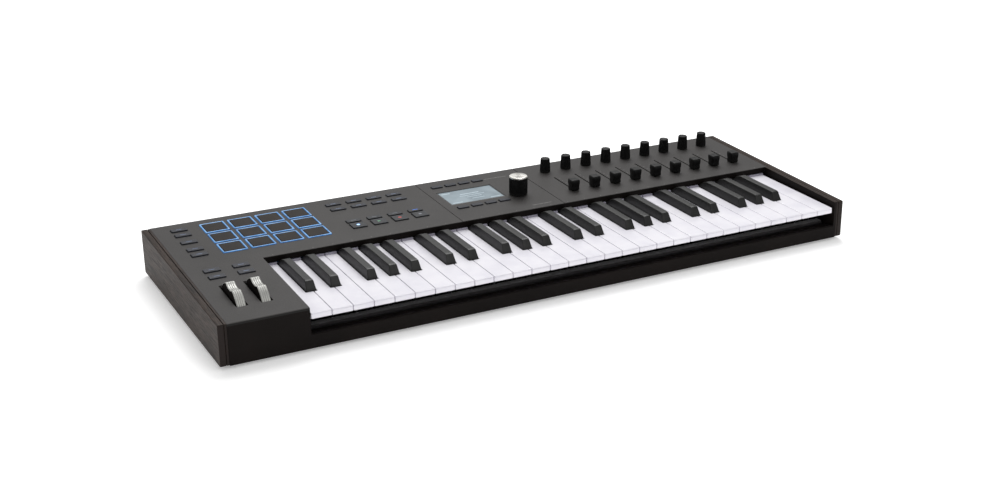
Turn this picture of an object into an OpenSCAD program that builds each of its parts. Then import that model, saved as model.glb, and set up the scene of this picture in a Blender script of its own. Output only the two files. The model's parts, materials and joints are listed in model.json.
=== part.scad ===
// Keyboard controller with four octaves and a top C of sprung keys. A sloping top panel carries pads,
// wheels, buttons, a display with its encoder, knobs and faders, between two wooden side panels.
// X runs along the keys with the low notes at -X, Y runs from the player to the back, and Z is up.
// The origin is the middle of the outline, on the surface that the feet stand on.

/* [Case] */
// Height of the case at its front edge, without feet
front_h = 46.4; // [46.4:0.1:56]
// Rise of the top panel from its front edge to its back edge
rise = 6; // [3:0.5:9]
// Depth of the control panel behind the keys
panel_d = 141.2; // [141.2:0.2:175]
// Width of the control block at the left of the keys
left_w = 87.4; // [87.4:0.2:105]
// Thickness of each wooden side panel
side_t = 10; // [8:0.5:14]
// Thickness of the bottom case's walls and floor
wall = 2.5; // [2:0.1:3.2]
// Thickness of the top panel
panel_t = 2.5; // [2:0.1:3]
// Height of the front rail below the keys
rail_h = 16; // [13:0.5:17]
// Height of each foot
foot_h = 4; // [2:0.5:8]
// Diameter of each foot
foot_d = 20; // [14:1:26]
// Diameter of the case screws
screw_d = 3; // [2.5:0.1:3.6]

/* [Keys] */
// Number of whole octaves before the top C
octaves = 4; // [2:1:5]
// Distance from one white key to the next
white_pitch = 23.5; // [23.5:0.1:28.5]
// Gap between neighbouring keys
key_gap = 0.8; // [0.6:0.1:1.4]
// Length of the white keys that shows
key_len = 145.8; // [122:0.2:175]
// Drop from the panel's front edge to the white keys' tops
key_drop = 7; // [6.5:0.1:8]
// Depth of the keys' side walls
key_h = 14; // [12:0.5:14]
// Thickness of the keys' walls
key_wall = 1.8; // [1.4:0.1:2.4]
// Width of the black keys at their foot
black_w = 11.6; // [9.6:0.1:13]
// Width of the black keys at their top
black_top_w = 8.8; // [7.4:0.1:9.4]
// Height of the black keys above the white ones
black_h = 10.6; // [9:0.1:12]
// Length of the white keys in front of the black ones
black_setback = 54.9; // [46:0.1:66]
// Outward shift of the two black keys in the group of two
shift_two = 2.2; // [0:0.1:3]
// Outward shift of the outer black keys in the group of three
shift_three = 2.5; // [0:0.1:3.5]
// Diameter of the rod that the keys turn on
rod_d = 4; // [3:0.5:5]

/* [Pads and buttons] */
// Distance from one pad to the next
pad_pitch = 33.06; // [31:0.01:36]
// Outer size of each pad's light frame
pad_frame = 28.5; // [24:0.1:29]
// Width of the light frame's rim
pad_rim = 1.7; // [1.2:0.1:2.5]
// Travel of a pad
pad_travel = 0.8; // [0.4:0.1:1]
// Height of the buttons above the panel
button_proud = 1.5; // [1.2:0.1:2.5]
// Travel of a button
button_travel = 0.8; // [0.5:0.1:1]
// Clearance around buttons and pads
button_gap = 0.4; // [0.2:0.05:0.4]
// Width of the buttons in the column beside the pads
column_button_w = 18.2; // [12:0.1:22]
// Depth of the buttons in the column beside the pads
column_button_d = 8.6; // [6:0.1:10]
// Width of the transport buttons
transport_w = 17.5; // [14:0.1:20]
// Depth of the large transport buttons
transport_d = 15.2; // [12:0.1:16]

/* [Knobs, faders and wheels] */
// Number of channels, each with one knob and one fader
channels = 9; // [4:1:9]
// Distance from one channel to the next
channel_pitch = 30.31; // [22:0.01:30.4]
// Diameter of the knobs at their base
knob_d = 13.8; // [11:0.1:16]
// Height of the knobs
knob_h = 18.5; // [15:0.1:22]
// Travel of the faders
fader_travel = 46; // [38:1:48]
// Width of a fader cap
fader_cap_w = 11.4; // [8:0.1:14]
// Length of a fader cap along its travel
fader_cap_l = 12; // [9:0.1:12]
// Height of a fader cap above the panel
fader_cap_h = 14.6; // [11:0.1:16]
// Diameter of the potentiometer and encoder shafts
shaft_d = 6; // [5:0.1:6.4]
// Diameter of the display's encoder knob
encoder_d = 23; // [16:0.1:25]
// Height of the encoder knob above the panel
encoder_h = 24.5; // [17:0.1:25]
// Radius of the pitch and modulation wheels
wheel_r = 32; // [28:0.5:33]
// Width of the pitch and modulation wheels
wheel_w = 10; // [8:0.5:11]
// Height of the wheels above the panel
wheel_proud = 13.5; // [10:0.1:14]
// Diameter of the wheels' axles
axle_d = 5; // [4:0.5:6]

/* [Display] */
// Width of the display's window
window_w = 74; // [60:1:80]
// Depth of the display's window
window_d = 45.5; // [38:0.5:48]

/* [Sockets] */
// Bore of the two pedal sockets
jack_bore = 6.5; // [6.4:0.05:6.8]
// Depth of the two pedal sockets
jack_depth = 24; // [20:1:28]
// Diameter of the round opening in the five-pin socket
din_bore = 13.6; // [13.4:0.1:14]

/* [Hidden] */
$fn = 48;
fit = 0.05;        // running clearance around shafts
seat = 0.05;       // gap between solids that rest on each other
press = 0.02;      // gap around a shaft pressed into its knob
bay_gap_left = 0.8;
bay_gap_right = 2.3;
bay_wall = 3;
front_gap = 1.15;
edge_r = 2;
lip_h = panel_t + 0.1;
bay_d = front_gap + key_len + 1.85;
body_d = bay_d + panel_d;
white_count = 7 * octaves + 1;
keys_w = white_count * white_pitch;
bay_x0 = side_t + left_w;
key_x0 = bay_x0 + bay_gap_left;
bay_x1 = key_x0 + keys_w + bay_gap_right;
body_w = bay_x1 + bay_wall + side_t;
slope = rise / body_d;
tilt = atan(slope);
key_top = front_h - key_drop;
function top(y) = front_h + slope * y;

// Keys, measured from the case's front and underside
body_front = 18;
lip_under = 6.8;
lip_t = 2.6;
shoulder_y = front_gap + key_len;
shoulder_h = 2.2;
fascia_gap = 0.5;     // clearance over the keys' rear ends
fascia_h = top(bay_d) - key_top - shoulder_h - fascia_gap;
tail_inset = 1.5;
tail_start = bay_d + 1.2;
pivot_y = bay_d + 23.2;
tail_y = pivot_y + 6;
pivot_z = key_top - 5.4;
tail_bottom = key_top - key_h + 0.6;
notch_y = front_gap + black_setback - 0.8;
black_y = front_gap + black_setback;
black_body_w = black_w - 0.6;
side_clear = 0.8;
plunger_y = 98;
plunger_l = 6;
plunger_h = 2.4;
black_slot = [0, 1, 3, 4, 5];
black_shift = [-shift_two, shift_two, -shift_three, 0, shift_three];
white_step = [0, 2, 4, 5, 7, 9, 11];
black_step = [1, 3, 6, 8, 10];

// Key bed under the keys
bed_z = 8;
bed_t = 1.5;
channel_y = 21;
channel_w = 10;
felt_t = 2.9;
felt_top = key_top - key_h - 9;
ear_t = 1.6;
contact_z = 13;
contact_t = 1.6;
dome_h = 3.7;
guide_w = 3;
guide_l = 5;
guide_top = key_top - 12;

// Boards under the panel, measured down from the panel's top face
board_drop = 12.4;
board_t = 1.6;
part_top = 5.9;
flange = 1;
flange_t = 1.2;
bushing_r = shaft_d / 2 + 1.4;
stem_w = 5;
stem_d = 3.6;

// Places on the panel: X from the wooden side's inner face, Y from the panel's edge over the keys
pad_x = 53;
pad_y = 31.7;
column_x = 18.8;
column_y = 34.4;
column_pair = 17;
column_step = 23.6;
grid_pitch = 26.24;
grid_x = 206.1;
grid_y = [98.9, 116.1];
grid_w = 18.5;
grid_d = 7;
transport_x = 208.6;
transport_y = 35.2;
transport_small_y = 54.2;
transport_small_d = 8;
groove_x = [332, 470];
groove_w = 0.8;
groove_depth = 0.6;
window_x = 343;
window_y = 55.2;
soft_x = 345.5;
soft_pitch = 18.66;
soft_w = 14;
soft_d = 7;
soft_front_y = 38.7;
soft_rear_y = 116;
encoder_x = 433.5;
encoder_y = 53.5;
channel_x = 503;
knob_y = 112.4;
fader_y = 36.2;
lever_w = 4.6;
lever_t = 1.2;
slot_end = 2.8;
slot_w = 1.9;
track_end = 3.6;      // housing past each end of the lever's travel, clear of the keys' tails
wheel_x = 27.5;
wheel_pitch = 26.7;
wheel_y = 65.5;
wheel_slot_w = 13;
wheel_slot_l = 61;
wheel_button_x = [17.8, 50.2];
wheel_button_y = [114.6, 133.9];
wheel_button_w = 18;
wheel_button_d = 9.2;
board_post_x = [196, 318, 486, 762];
board_post_y = [46, 106];

// Wheels
wheel_z = top(wheel_y) - wheel_r + wheel_proud;
wheel_core_r = wheel_r - 10;
wheel_sector = 95;
groove_angle = 5;
thumb_r = 20;
thumb_depth = 4.6;
bracket_t = 3;
bracket_base = 2;
axle_end = 2.4;

// Case screws and feet
screw_head_d = 2 * screw_d;
screw_head_t = 1.8;
screw_l = 13;
post_r = screw_d / 2 + 2.6;
post_foot = wall + 2.5;
post_gap = 0.1;
rear_posts = 5;
post_edge = 9;
foot_inset = [40, 26];

// Sockets through the rear wall
main_board_z = 8;
main_board_x = [30, 190];
main_board_y = 78;
dc_x = 45;
usb_x = 72;
din_x = 102;
jack_x = [135, 163];
jack_w = 15;
jack_l = 28;
jack_h = 14;
jack_ring_r = jack_bore / 2 + 1.9;
din_w = 20;
din_l = 15;
din_h = 18.6;
din_depth = 9;
usb_w = 12;
usb_h = 11;
usb_l = 16;
usb_hole = [8.45, 7.8];
usb_tongue = [5.6, 3.2];
dc_w = 9;
dc_l = 13;
dc_h = 11;
dc_bore = 5.7;
dc_pin = 2;
window_gap = 0.3;
socket_z = main_board_z + board_t + seat;

// Moves a piece from the case's front left lower corner to the origin
module from_corner() {
    translate([-body_w / 2, -body_d / 2, foot_h]) children();
}

// Puts a piece on the panel's top face, x from the wood and y from the edge over the keys
module on_panel(x, y) {
    translate([side_t + x, bay_d + y, top(bay_d + y)]) rotate([tilt, 0, 0]) children();
}

// Outline in Y and Z, extruded along X from x0 to x1
module along_x(x0, x1, points) {
    translate([x0, 0, 0]) rotate([90, 0, 90]) linear_extrude(x1 - x0) polygon(points);
}

// Block whose upper face runs parallel to the panel, a given drop below its top face
module under_panel(x0, x1, y0, y1, z0, drop) {
    along_x(x0, x1, [[y0, z0], [y1, z0], [y1, top(y1) - drop], [y0, top(y0) - drop]]);
}

// Sheet parallel to the panel between two drops below its top face
module panel_sheet(x0, x1, y0, y1, drop0, drop1) {
    along_x(x0, x1, [
        [y0, top(y0) - drop1], [y1, top(y1) - drop1], [y1, top(y1) - drop0], [y0, top(y0) - drop0]]);
}

// Box given by two opposite corners
module box(low, high) {
    translate(low) cube(high - low);
}

function screw_places() = concat(
    [for (i = [0:rear_posts - 1])
        [side_t + post_edge + i * (body_w - 2 * side_t - 2 * post_edge) / (rear_posts - 1), body_d - 11]],
    [[side_t + post_edge, 12], [bay_x0 - post_edge, 12]]);

function column_rows() = [for (s = [[0, 0], [1, 0], [1, 1], [1, 2], [2, 2]])
    column_y + s[0] * column_pair + s[1] * column_step];

// ---- Case ----

module bottom_case() {
    color("#1d1b1b") from_corner() difference() {
        union() {
            box([side_t, 0, 0], [body_w - side_t, body_d, wall]);
            intersection() {
                union() {
                    box([side_t, 0, 0], [side_t + wall, body_d, 2 * front_h]);
                    box([bay_x0 - wall, 0, 0], [bay_x0, bay_d, 2 * front_h]);
                    box([bay_x1, 0, 0], [body_w - side_t, body_d, 2 * front_h]);
                    box([side_t, body_d - wall, 0], [body_w - side_t, body_d, 2 * front_h]);
                }
                under_panel(side_t, body_w - side_t, 0, body_d, 0, panel_t);
            }
            under_panel(bay_x1, body_w - side_t, 0, bay_d, 0, 0);
            box([side_t, 0, 0], [bay_x0, wall, front_h - lip_h]);
            front_rail();
            for (y = [40, 92, pivot_y - 4])
                box([bay_x0, y, 0], [bay_x1, y + 2, bed_z]);
            for (x = main_board_x, y = [body_d - main_board_y + 6, body_d - 24])
                translate([x + (x < 100 ? 6 : -6), y, 0]) cylinder(r = 3, h = main_board_z);
            for (p = screw_places())
                translate([p[0], p[1], 0]) cylinder(r = post_r, h = post_foot);
        }
        for (p = screw_places()) translate([p[0], p[1], 0]) {
            translate([0, 0, -1]) cylinder(d = screw_d + 0.4, h = post_foot + 2);
            translate([0, 0, -1]) cylinder(d = screw_head_d + 0.4, h = screw_head_t + 1.3);
        }
        box([side_t - 1, -1, front_h - lip_h], [bay_x0 + 1, panel_t + seat, 2 * front_h]);
        socket_windows();
    }
}

// Low hollow wall in front of the keys with a shelf that falls away behind it
module front_rail() {
    along_x(bay_x0, bay_x1, [[0, 0], [0, rail_h - 1], [1, rail_h], [20, rail_h - 4], [20, rail_h - 4 - wall],
        [wall, rail_h - 1 - wall], [wall, 0]]);
}

module socket_windows() {
    y0 = body_d - wall - 1;
    for (x = jack_x)
        translate([x, y0, socket_z + jack_h / 2]) rotate([-90, 0, 0])
            cylinder(r = jack_ring_r + window_gap, h = wall + 2);
    translate([din_x, y0, socket_z + din_h / 2]) rotate([-90, 0, 0])
        cylinder(d = din_bore + 2, h = wall + 2);
    box([usb_x - usb_w / 2 - window_gap, y0, socket_z - window_gap],
        [usb_x + usb_w / 2 + window_gap, body_d + 1, socket_z + usb_h + window_gap]);
    translate([dc_x, y0, socket_z + dc_h / 2]) rotate([-90, 0, 0])
        cylinder(d = dc_bore + 1.6, h = wall + 2);
}

module top_panel() {
    color("#565554") from_corner() difference() {
        union() {
            intersection() {
                panel_sheet(side_t, body_w - side_t, edge_r, body_d, 0, panel_t);
                linear_extrude(2 * front_h) polygon([
                    [side_t, edge_r], [bay_x0, edge_r], [bay_x0, bay_d], [body_w - side_t, bay_d],
                    [body_w - side_t, body_d], [side_t, body_d]]);
            }
            panel_lip();
            panel_sheet(bay_x0, bay_x1, bay_d, bay_d + wall, panel_t / 2, fascia_h);
            for (p = screw_places())
                translate([p[0], p[1], post_foot + post_gap])
                    cylinder(r = post_r, h = top(p[1]) - panel_t / 2 - post_foot - post_gap);
            for (x = board_post_x, y = board_post_y)
                on_panel(x, y) translate([0, 0, seat - board_drop])
                    cylinder(r = 3, h = board_drop - panel_t / 2 - seat);
        }
        for (p = screw_places())
            translate([p[0], p[1], 0]) cylinder(d = screw_d + 2 * fit, h = screw_l + 3);
        control_openings();
        for (x = groove_x)
            panel_sheet(side_t + x - groove_w / 2, side_t + x + groove_w / 2, bay_d - 1, body_d + 1,
                -1, groove_depth);
    }
}

// Rounded front edge of the left block, with the lip that closes on the front wall
module panel_lip() {
    edge = [for (a = [0:15:90]) [edge_r - edge_r * cos(a), top(edge_r) - edge_r + edge_r * sin(a)]];
    along_x(side_t, bay_x0, concat(edge, [[edge_r, top(edge_r) - panel_t], [panel_t, top(panel_t) - panel_t],
        [panel_t, front_h - lip_h], [0, front_h - lip_h]]));
}

module control_openings() {
    g = button_gap;
    for (i = [0:3], j = [0:2])
        opening(pad_x + i * pad_pitch, pad_y + j * pad_pitch, pad_frame, pad_frame, g / 2);
    for (y = column_rows()) opening(column_x, y, column_button_w, column_button_d, g);
    for (x = wheel_button_x, y = wheel_button_y)
        opening(x, y - bay_d, wheel_button_w, wheel_button_d, g);
    for (i = [0:3]) {
        for (y = grid_y) opening(grid_x + i * grid_pitch, y, grid_w, grid_d, g);
        opening(transport_x + i * grid_pitch, transport_y, transport_w, transport_d, g);
        opening(transport_x + i * grid_pitch, transport_small_y, transport_w, transport_small_d, g);
        for (y = [soft_front_y, soft_rear_y]) opening(soft_x + i * soft_pitch, y, soft_w, soft_d, g);
    }
    opening(window_x, window_y, window_w, window_d, g / 2);
    on_panel(encoder_x, encoder_y) translate([0, 0, -2 * panel_t])
        cylinder(r = bushing_r + g, h = 4 * panel_t);
    for (i = [0:channels - 1]) {
        on_panel(channel_x + i * channel_pitch, knob_y) translate([0, 0, -2 * panel_t])
            cylinder(r = bushing_r + g, h = 4 * panel_t);
        on_panel(channel_x + i * channel_pitch, fader_y)
            box([-slot_w / 2, -lever_w / 2 - slot_end, -2 * panel_t],
                [slot_w / 2, fader_travel + lever_w / 2 + slot_end, 2 * panel_t]);
    }
    for (i = [0, 1])
        on_panel(wheel_x + i * wheel_pitch, wheel_y - bay_d)
            box([-wheel_slot_w / 2, -wheel_slot_l / 2, -2 * panel_t],
                [wheel_slot_w / 2, wheel_slot_l / 2, 2 * panel_t]);
}

// Rectangular opening in the panel around a piece whose front left corner is given
module opening(x, y, w, d, gap) {
    on_panel(x, y) box([-gap, -gap, -2 * panel_t], [w + gap, d + gap, 2 * panel_t]);
}

module side_panel(x) {
    color("#4a3c34") from_corner()
        under_panel(x, x + side_t, 0, body_d, 0, -0.2);
}

module feet() {
    color("#151515") from_corner()
        for (x = [foot_inset[0], body_w / 2, body_w - foot_inset[0]],
             y = [foot_inset[1], body_d - foot_inset[1]])
            translate([x, y, -foot_h]) {
                cylinder(d1 = foot_d - 2, d2 = foot_d, h = 1);
                translate([0, 0, 1]) cylinder(d = foot_d, h = foot_h - 1);
            }
}

module case_screws() {
    color("#9a9a9a") from_corner() for (p = screw_places())
        translate([p[0], p[1], 0.2]) difference() {
            union() {
                cylinder(d = screw_head_d, h = screw_head_t);
                cylinder(d = screw_d, h = screw_l);
            }
            translate([0, 0, -1]) cylinder(d = screw_d * 0.7, h = 2, $fn = 6);
        }
}

// ---- Keys ----

// Left and right edges of the part of a white key that lies between the black keys
function white_left(w, last) = search(w - 1, black_slot) == [] || last ? key_gap / 2 :
    black_shift[search(w - 1, black_slot)[0]] + black_w / 2 + side_clear;
function white_right(w, last) = search(w, black_slot) == [] || last ? white_pitch - key_gap / 2 :
    white_pitch + black_shift[search(w, black_slot)[0]] - black_w / 2 - side_clear;

// Side outline of a white key: lip, flat top, raised shoulder and tail around the rod
module white_side() {
    along_x(-1, white_pitch + 1, [
        [front_gap, key_top - lip_under], [front_gap, key_top - 1], [front_gap + 1, key_top],
        [shoulder_y, key_top], [shoulder_y, key_top + shoulder_h], [tail_y, key_top + shoulder_h],
        [tail_y, tail_bottom], [body_front, key_top - key_h], [body_front, key_top - lip_under]]);
}

module white_key(w, last) {
    xl = white_left(w, last);
    xr = white_right(w, last);
    x0 = key_gap / 2;
    x1 = white_pitch - key_gap / 2;
    ceiling = key_top - 2.5;
    difference() {
        intersection() {
            white_side();
            linear_extrude(100) polygon([
                [x0, 0], [x1, 0], [x1, notch_y], [xr, notch_y], [xr, tail_start],
                [xr - tail_inset, tail_start], [xr - tail_inset, tail_y], [xl + tail_inset, tail_y],
                [xl + tail_inset, tail_start], [xl, tail_start], [xl, notch_y], [x0, notch_y]]);
        }
        difference() {
            union() {
                box([x0 + key_wall, front_gap + lip_t, 0], [x1 - key_wall, notch_y - key_wall, ceiling]);
                box([xl + key_wall, notch_y - 2 * key_wall, 0],
                    [xr - key_wall, shoulder_y - key_wall, ceiling]);
            }
            box([xl, plunger_y, 0], [xr, plunger_y + plunger_l, ceiling + 1]);
        }
        rod_bore();
    }
    plunger(xl + key_wall + 1, xr - key_wall - 1);
}

// Rib under a key that presses its contact dome
module plunger(x0, x1) {
    box([x0, plunger_y, key_top - key_h - plunger_h], [x1, plunger_y + plunger_l, key_top - key_h + 1]);
}

module rod_bore() {
    translate([-50, pivot_y, pivot_z]) rotate([0, 90, 0]) cylinder(r = rod_d / 2 + fit, h = 100);
}

// Black key centred on x = 0: sloped front, tapered sides and a top that dips at the back
module black_key() {
    half = black_body_w / 2;
    crown = key_top + black_h;
    dip = [for (t = [0.25:0.25:1])
        [shoulder_y - 18 + 18 * t, crown - 1 - (black_h - 1 - shoulder_h) * t * t]];
    difference() {
        intersection() {
            along_x(-20, 20, concat(
                [[black_y + 1, key_top - key_h], [black_y, key_top + 0.4], [black_y + 5.4, crown - 0.6],
                 [black_y + 6.2, crown], [shoulder_y - 18, crown - 0.8]], dip,
                [[tail_y, key_top + shoulder_h], [tail_y, tail_bottom]]));
            union() {
                translate([0, 200, 0]) rotate([90, 0, 0]) linear_extrude(200) polygon([
                    [-half, 0], [half, 0], [half, key_top], [black_w / 2, key_top + 0.2],
                    [black_w / 2, key_top + 0.8], [black_top_w / 2, crown + 1], [-black_top_w / 2, crown + 1],
                    [-black_w / 2, key_top + 0.8], [-black_w / 2, key_top + 0.2], [-half, key_top]]);
            }
            linear_extrude(100) polygon([
                [-black_w / 2, 0], [black_w / 2, 0],
                [black_w / 2, tail_start], [half - tail_inset, tail_start],
                [half - tail_inset, tail_y], [-half + tail_inset, tail_y], [-half + tail_inset, tail_start],
                [-black_w / 2, tail_start]]);
        }
        difference() {
            box([-half + key_wall, black_y + 8, 0], [half - key_wall, shoulder_y - key_wall, key_top + 1.5]);
            box([-half, plunger_y, 0], [half, plunger_y + plunger_l, key_top + 2]);
        }
        rod_bore();
    }
    plunger(-half + key_wall + 0.6, half - key_wall - 0.6);
}

// All keys that are a given number of half steps above C
module keys_step(step) {
    w = search(step, white_step);
    b = search(step, black_step);
    from_corner() {
        if (w != []) color("#e8e6ec") {
            for (k = [0:octaves - 1])
                translate([key_x0 + (7 * k + w[0]) * white_pitch, 0, 0]) white_key(w[0], false);
            if (step == 0)
                translate([key_x0 + 7 * octaves * white_pitch, 0, 0]) white_key(0, true);
        }
        if (b != []) color("#2c2b2c") for (k = [0:octaves - 1])
            translate([key_x0 + (7 * k + black_slot[b[0]] + 1) * white_pitch + black_shift[b[0]], 0, 0])
                black_key();
    }
}

// Middle of every key's tail, where its spring stands
function white_tails() = concat(
    [for (k = [0:octaves - 1], w = [0:6])
        key_x0 + (7 * k + w) * white_pitch + (white_left(w, false) + white_right(w, false)) / 2],
    [key_x0 + (7 * octaves + 0.5) * white_pitch]);
function black_tails() = [for (k = [0:octaves - 1], b = [0:4])
    key_x0 + (7 * k + black_slot[b] + 1) * white_pitch + black_shift[b]];
function tail_places() = concat(white_tails(), black_tails());

// Pressed steel bed: plate, folded front channel and ears that carry the rod
module keybed_frame() {
    x0 = key_x0 - 0.4;
    x1 = key_x0 + keys_w + 0.4;
    y1 = channel_y + channel_w;
    felt_seat = felt_top - felt_t - seat;
    color("#1d1d1e") from_corner() {
        difference() {
            union() {
                box([x0, channel_y, bed_z + seat], [x1, tail_y + 2, bed_z + bed_t]);
                box([x0, channel_y, bed_z + seat], [x1, channel_y + bed_t, felt_seat]);
                box([x0, y1 - bed_t, bed_z + seat], [x1, y1, felt_seat]);
                box([x0, channel_y, felt_seat - bed_t], [x1, y1, felt_seat]);
                for (k = [0:octaves])
                    rod_ear(key_x0 + 7 * k * white_pitch);
                rod_ear(x1 - ear_t / 2);
                for (x = white_tails())
                    guide_post(x, y1 + 2);
                for (x = black_tails())
                    guide_post(x, black_y + 10);
            }
            translate([0, pivot_y, pivot_z]) rotate([0, 90, 0]) cylinder(r = rod_d / 2 + fit, h = body_w);
        }
    }
}

// Post inside a key's side walls that keeps the key from swaying
module guide_post(x, y) {
    box([x - guide_w / 2, y, bed_z + seat], [x + guide_w / 2, y + guide_l, guide_top]);
}

module rod_ear(x) {
    box([x - ear_t / 2, tail_start + 6, bed_z + seat], [x + ear_t / 2, tail_y + 2, pivot_z + rod_d / 2 + 1]);
}

module key_pivot_rod() {
    color("#b9bcc0") from_corner() translate([key_x0 - 0.4, pivot_y, pivot_z]) rotate([0, 90, 0])
        cylinder(d = rod_d, h = keys_w + 0.8);
}

// Contact board with one rubber dome under each key
module key_contact_board() {
    from_corner() {
        color("#1f5c38") box([key_x0, plunger_y - 16, contact_z],
            [key_x0 + keys_w, plunger_y + 22, contact_z + contact_t]);
        color("#c9c9c9") for (x = tail_places())
            translate([x, plunger_y + plunger_l / 2, contact_z + contact_t + seat])
                cylinder(d1 = 7, d2 = 5, h = dome_h);
    }
}

module key_springs() {
    color("#c2c4c6") from_corner() for (x = tail_places())
        translate([x, tail_y - 2.6, bed_z + bed_t + seat]) difference() {
            cylinder(r = 2.4, h = tail_bottom - bed_z - bed_t - 0.6);
            translate([0, 0, -1]) cylinder(r = 1.8, h = tail_bottom);
        }
}

module key_felts() {
    color("#1f1d1f") from_corner()
        box([key_x0, channel_y, felt_top - felt_t], [key_x0 + keys_w, channel_y + channel_w, felt_top]);
}

// ---- Boards, display and panel parts ----

module circuit_boards() {
    color("#1f5c38") from_corner() {
        panel_sheet(side_t + 8, body_w - side_t - 8, bay_d + 33, body_d - 18,
            board_drop, board_drop + board_t);
        panel_sheet(side_t + 8, bay_x0 - wall - 3, wheel_y + wheel_r + 10, bay_d + 2,
            board_drop, board_drop + board_t);
        box([main_board_x[0], body_d - main_board_y, main_board_z + seat],
            [main_board_x[1], body_d - 14, main_board_z + board_t]);
        for (i = [0:2])
            box([main_board_x[0] + 22 + 36 * i, body_d - main_board_y + 12, main_board_z + board_t + seat],
                [main_board_x[0] + 36 + 36 * i, body_d - main_board_y + 26, main_board_z + board_t + 1.8]);
    }
}

module display_module() {
    color("#23272b") from_corner() on_panel(window_x, window_y)
        box([-3, -3, seat - board_drop], [window_w + 3, window_d + 3, -panel_t - 0.2]);
}

module display_window() {
    color("#a9b8c0") from_corner() on_panel(window_x, window_y)
        box([0, 0, -panel_t - 0.1], [window_w, window_d, -0.15]);
}

module pad_light_frames() {
    color("#2f7fc4") from_corner() for (i = [0:3], j = [0:2])
        on_panel(pad_x + i * pad_pitch, pad_y + j * pad_pitch) difference() {
            box([0, 0, -6], [pad_frame, pad_frame, 1]);
            box([pad_rim, pad_rim, -7], [pad_frame - pad_rim, pad_frame - pad_rim, 2]);
        }
}

module pads() {
    inset = pad_rim + button_gap;
    color("#262422") from_corner() for (i = [0:3], j = [0:2])
        on_panel(pad_x + i * pad_pitch, pad_y + j * pad_pitch)
            box([inset, inset, -board_drop + pad_travel + 0.4],
                [pad_frame - inset, pad_frame - inset, 1.3 + pad_travel / 4]);
}

// Button cap with a retaining flange under the panel and a stem down to its switch
module button(w, d, tint) {
    color(tint) {
        box([0, 0, -panel_t - 0.4], [w, d, button_proud]);
        box([-flange, -flange, -panel_t - 0.4 - flange_t], [w + flange, d + flange, -panel_t - 0.4]);
        translate([w / 2, d / 2, 0])
            box([-stem_w / 2, -stem_d / 2, button_travel + 0.5 - board_drop],
                [stem_w / 2, stem_d / 2, -panel_t - 1]);
    }
}

module column_buttons() {
    from_corner() for (y = column_rows())
        on_panel(column_x, y) button(column_button_w, column_button_d, "#3a3d48");
}

module wheel_buttons() {
    from_corner() for (x = wheel_button_x, y = wheel_button_y)
        on_panel(x, y - bay_d) button(wheel_button_w, wheel_button_d, "#3a3d48");
}

module grid_buttons() {
    from_corner() for (i = [0:3], y = grid_y)
        on_panel(grid_x + i * grid_pitch, y) button(grid_w, grid_d, "#3a3d48");
}

module transport_buttons() {
    from_corner() for (i = [0:3]) {
        on_panel(transport_x + i * grid_pitch, transport_y) button(transport_w, transport_d, "#474a50");
        on_panel(transport_x + i * grid_pitch, transport_small_y)
            button(transport_w, transport_small_d, "#3a3d48");
    }
}

module display_buttons() {
    from_corner() for (i = [0:3], y = [soft_front_y, soft_rear_y])
        on_panel(soft_x + i * soft_pitch, y) button(soft_w, soft_d, "#2b2d33");
}

// Potentiometer or encoder body on the board, with its bushing through the panel
module shaft_body(w, d) {
    difference() {
        union() {
            box([-w / 2, -d / 2, seat - board_drop], [w / 2, d / 2, -part_top]);
            translate([0, 0, -part_top - 1]) cylinder(r = bushing_r, h = part_top + 0.6);
        }
        translate([0, 0, -9.6]) cylinder(r = shaft_d / 2 + fit, h = 20);
    }
}

module knob_potentiometers() {
    color("#6d7a6a") from_corner() for (i = [0:channels - 1])
        on_panel(channel_x + i * channel_pitch, knob_y) shaft_body(9.6, 11);
}

module encoder_base() {
    color("#6d7a6a") from_corner() on_panel(encoder_x, encoder_y) shaft_body(13, 13);
}

// Tapered knob with a rounded crown, and the shaft that its blind bore is pressed on
module knob(i) {
    color("#1b1a1b") from_corner() on_panel(channel_x + (i - 1) * channel_pitch, knob_y) {
        difference() {
            rotate_extrude() polygon(concat([[0, 0.6], [knob_d / 2, 0.6]],
                [for (a = [0:18:90]) [knob_d / 2 - 1.7 + 1.2 * cos(a), knob_h - 1.2 + 1.2 * sin(a)]],
                [[0, knob_h]]));
            cylinder(r = shaft_d / 2 + press, h = knob_h - 4);
        }
        translate([0, 0, -8.6]) cylinder(d = shaft_d, h = knob_h + 8.6 - 4.4);
    }
}

// Slide potentiometer: a long housing with a channel for the lever
module fader_tracks() {
    run = fader_travel + lever_w;
    color("#7c8084") from_corner() for (i = [0:channels - 1])
        on_panel(channel_x + i * channel_pitch, fader_y) translate([0, -lever_w / 2, 0]) difference() {
            box([-4.5, -track_end, seat - board_drop], [4.5, run + track_end, -part_top]);
            box([-slot_w / 2, -0.6, -10.4], [slot_w / 2, run + 0.6, 0]);
        }
}

// Fader cap with a waist, and the lever that it is pushed onto
module fader(i) {
    color("#1b1a1b") from_corner() on_panel(channel_x + (i - 1) * channel_pitch, fader_y) {
        difference() {
            rotate([90, 0, 90]) translate([0, 0, -fader_cap_w / 2]) linear_extrude(fader_cap_w)
                polygon([[-4.6, 0.8], [4.6, 0.8], [4, fader_cap_h * 0.42],
                    [fader_cap_l / 2, fader_cap_h * 0.55],
                    [fader_cap_l / 2 - 0.4, fader_cap_h - 0.8], [fader_cap_l / 2 - 1.2, fader_cap_h],
                    [0, fader_cap_h - 1], [-fader_cap_l / 2 + 1.2, fader_cap_h],
                    [-fader_cap_l / 2 + 0.4, fader_cap_h - 0.8], [-fader_cap_l / 2, fader_cap_h * 0.55],
                    [-4, fader_cap_h * 0.42]]);
            box([-lever_t / 2 - fit, -lever_w / 2 - fit, 0], [lever_t / 2 + fit, lever_w / 2 + fit, 7]);
        }
        box([-lever_t / 2, -lever_w / 2, -10], [lever_t / 2, lever_w / 2, 6.8]);
    }
}

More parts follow.
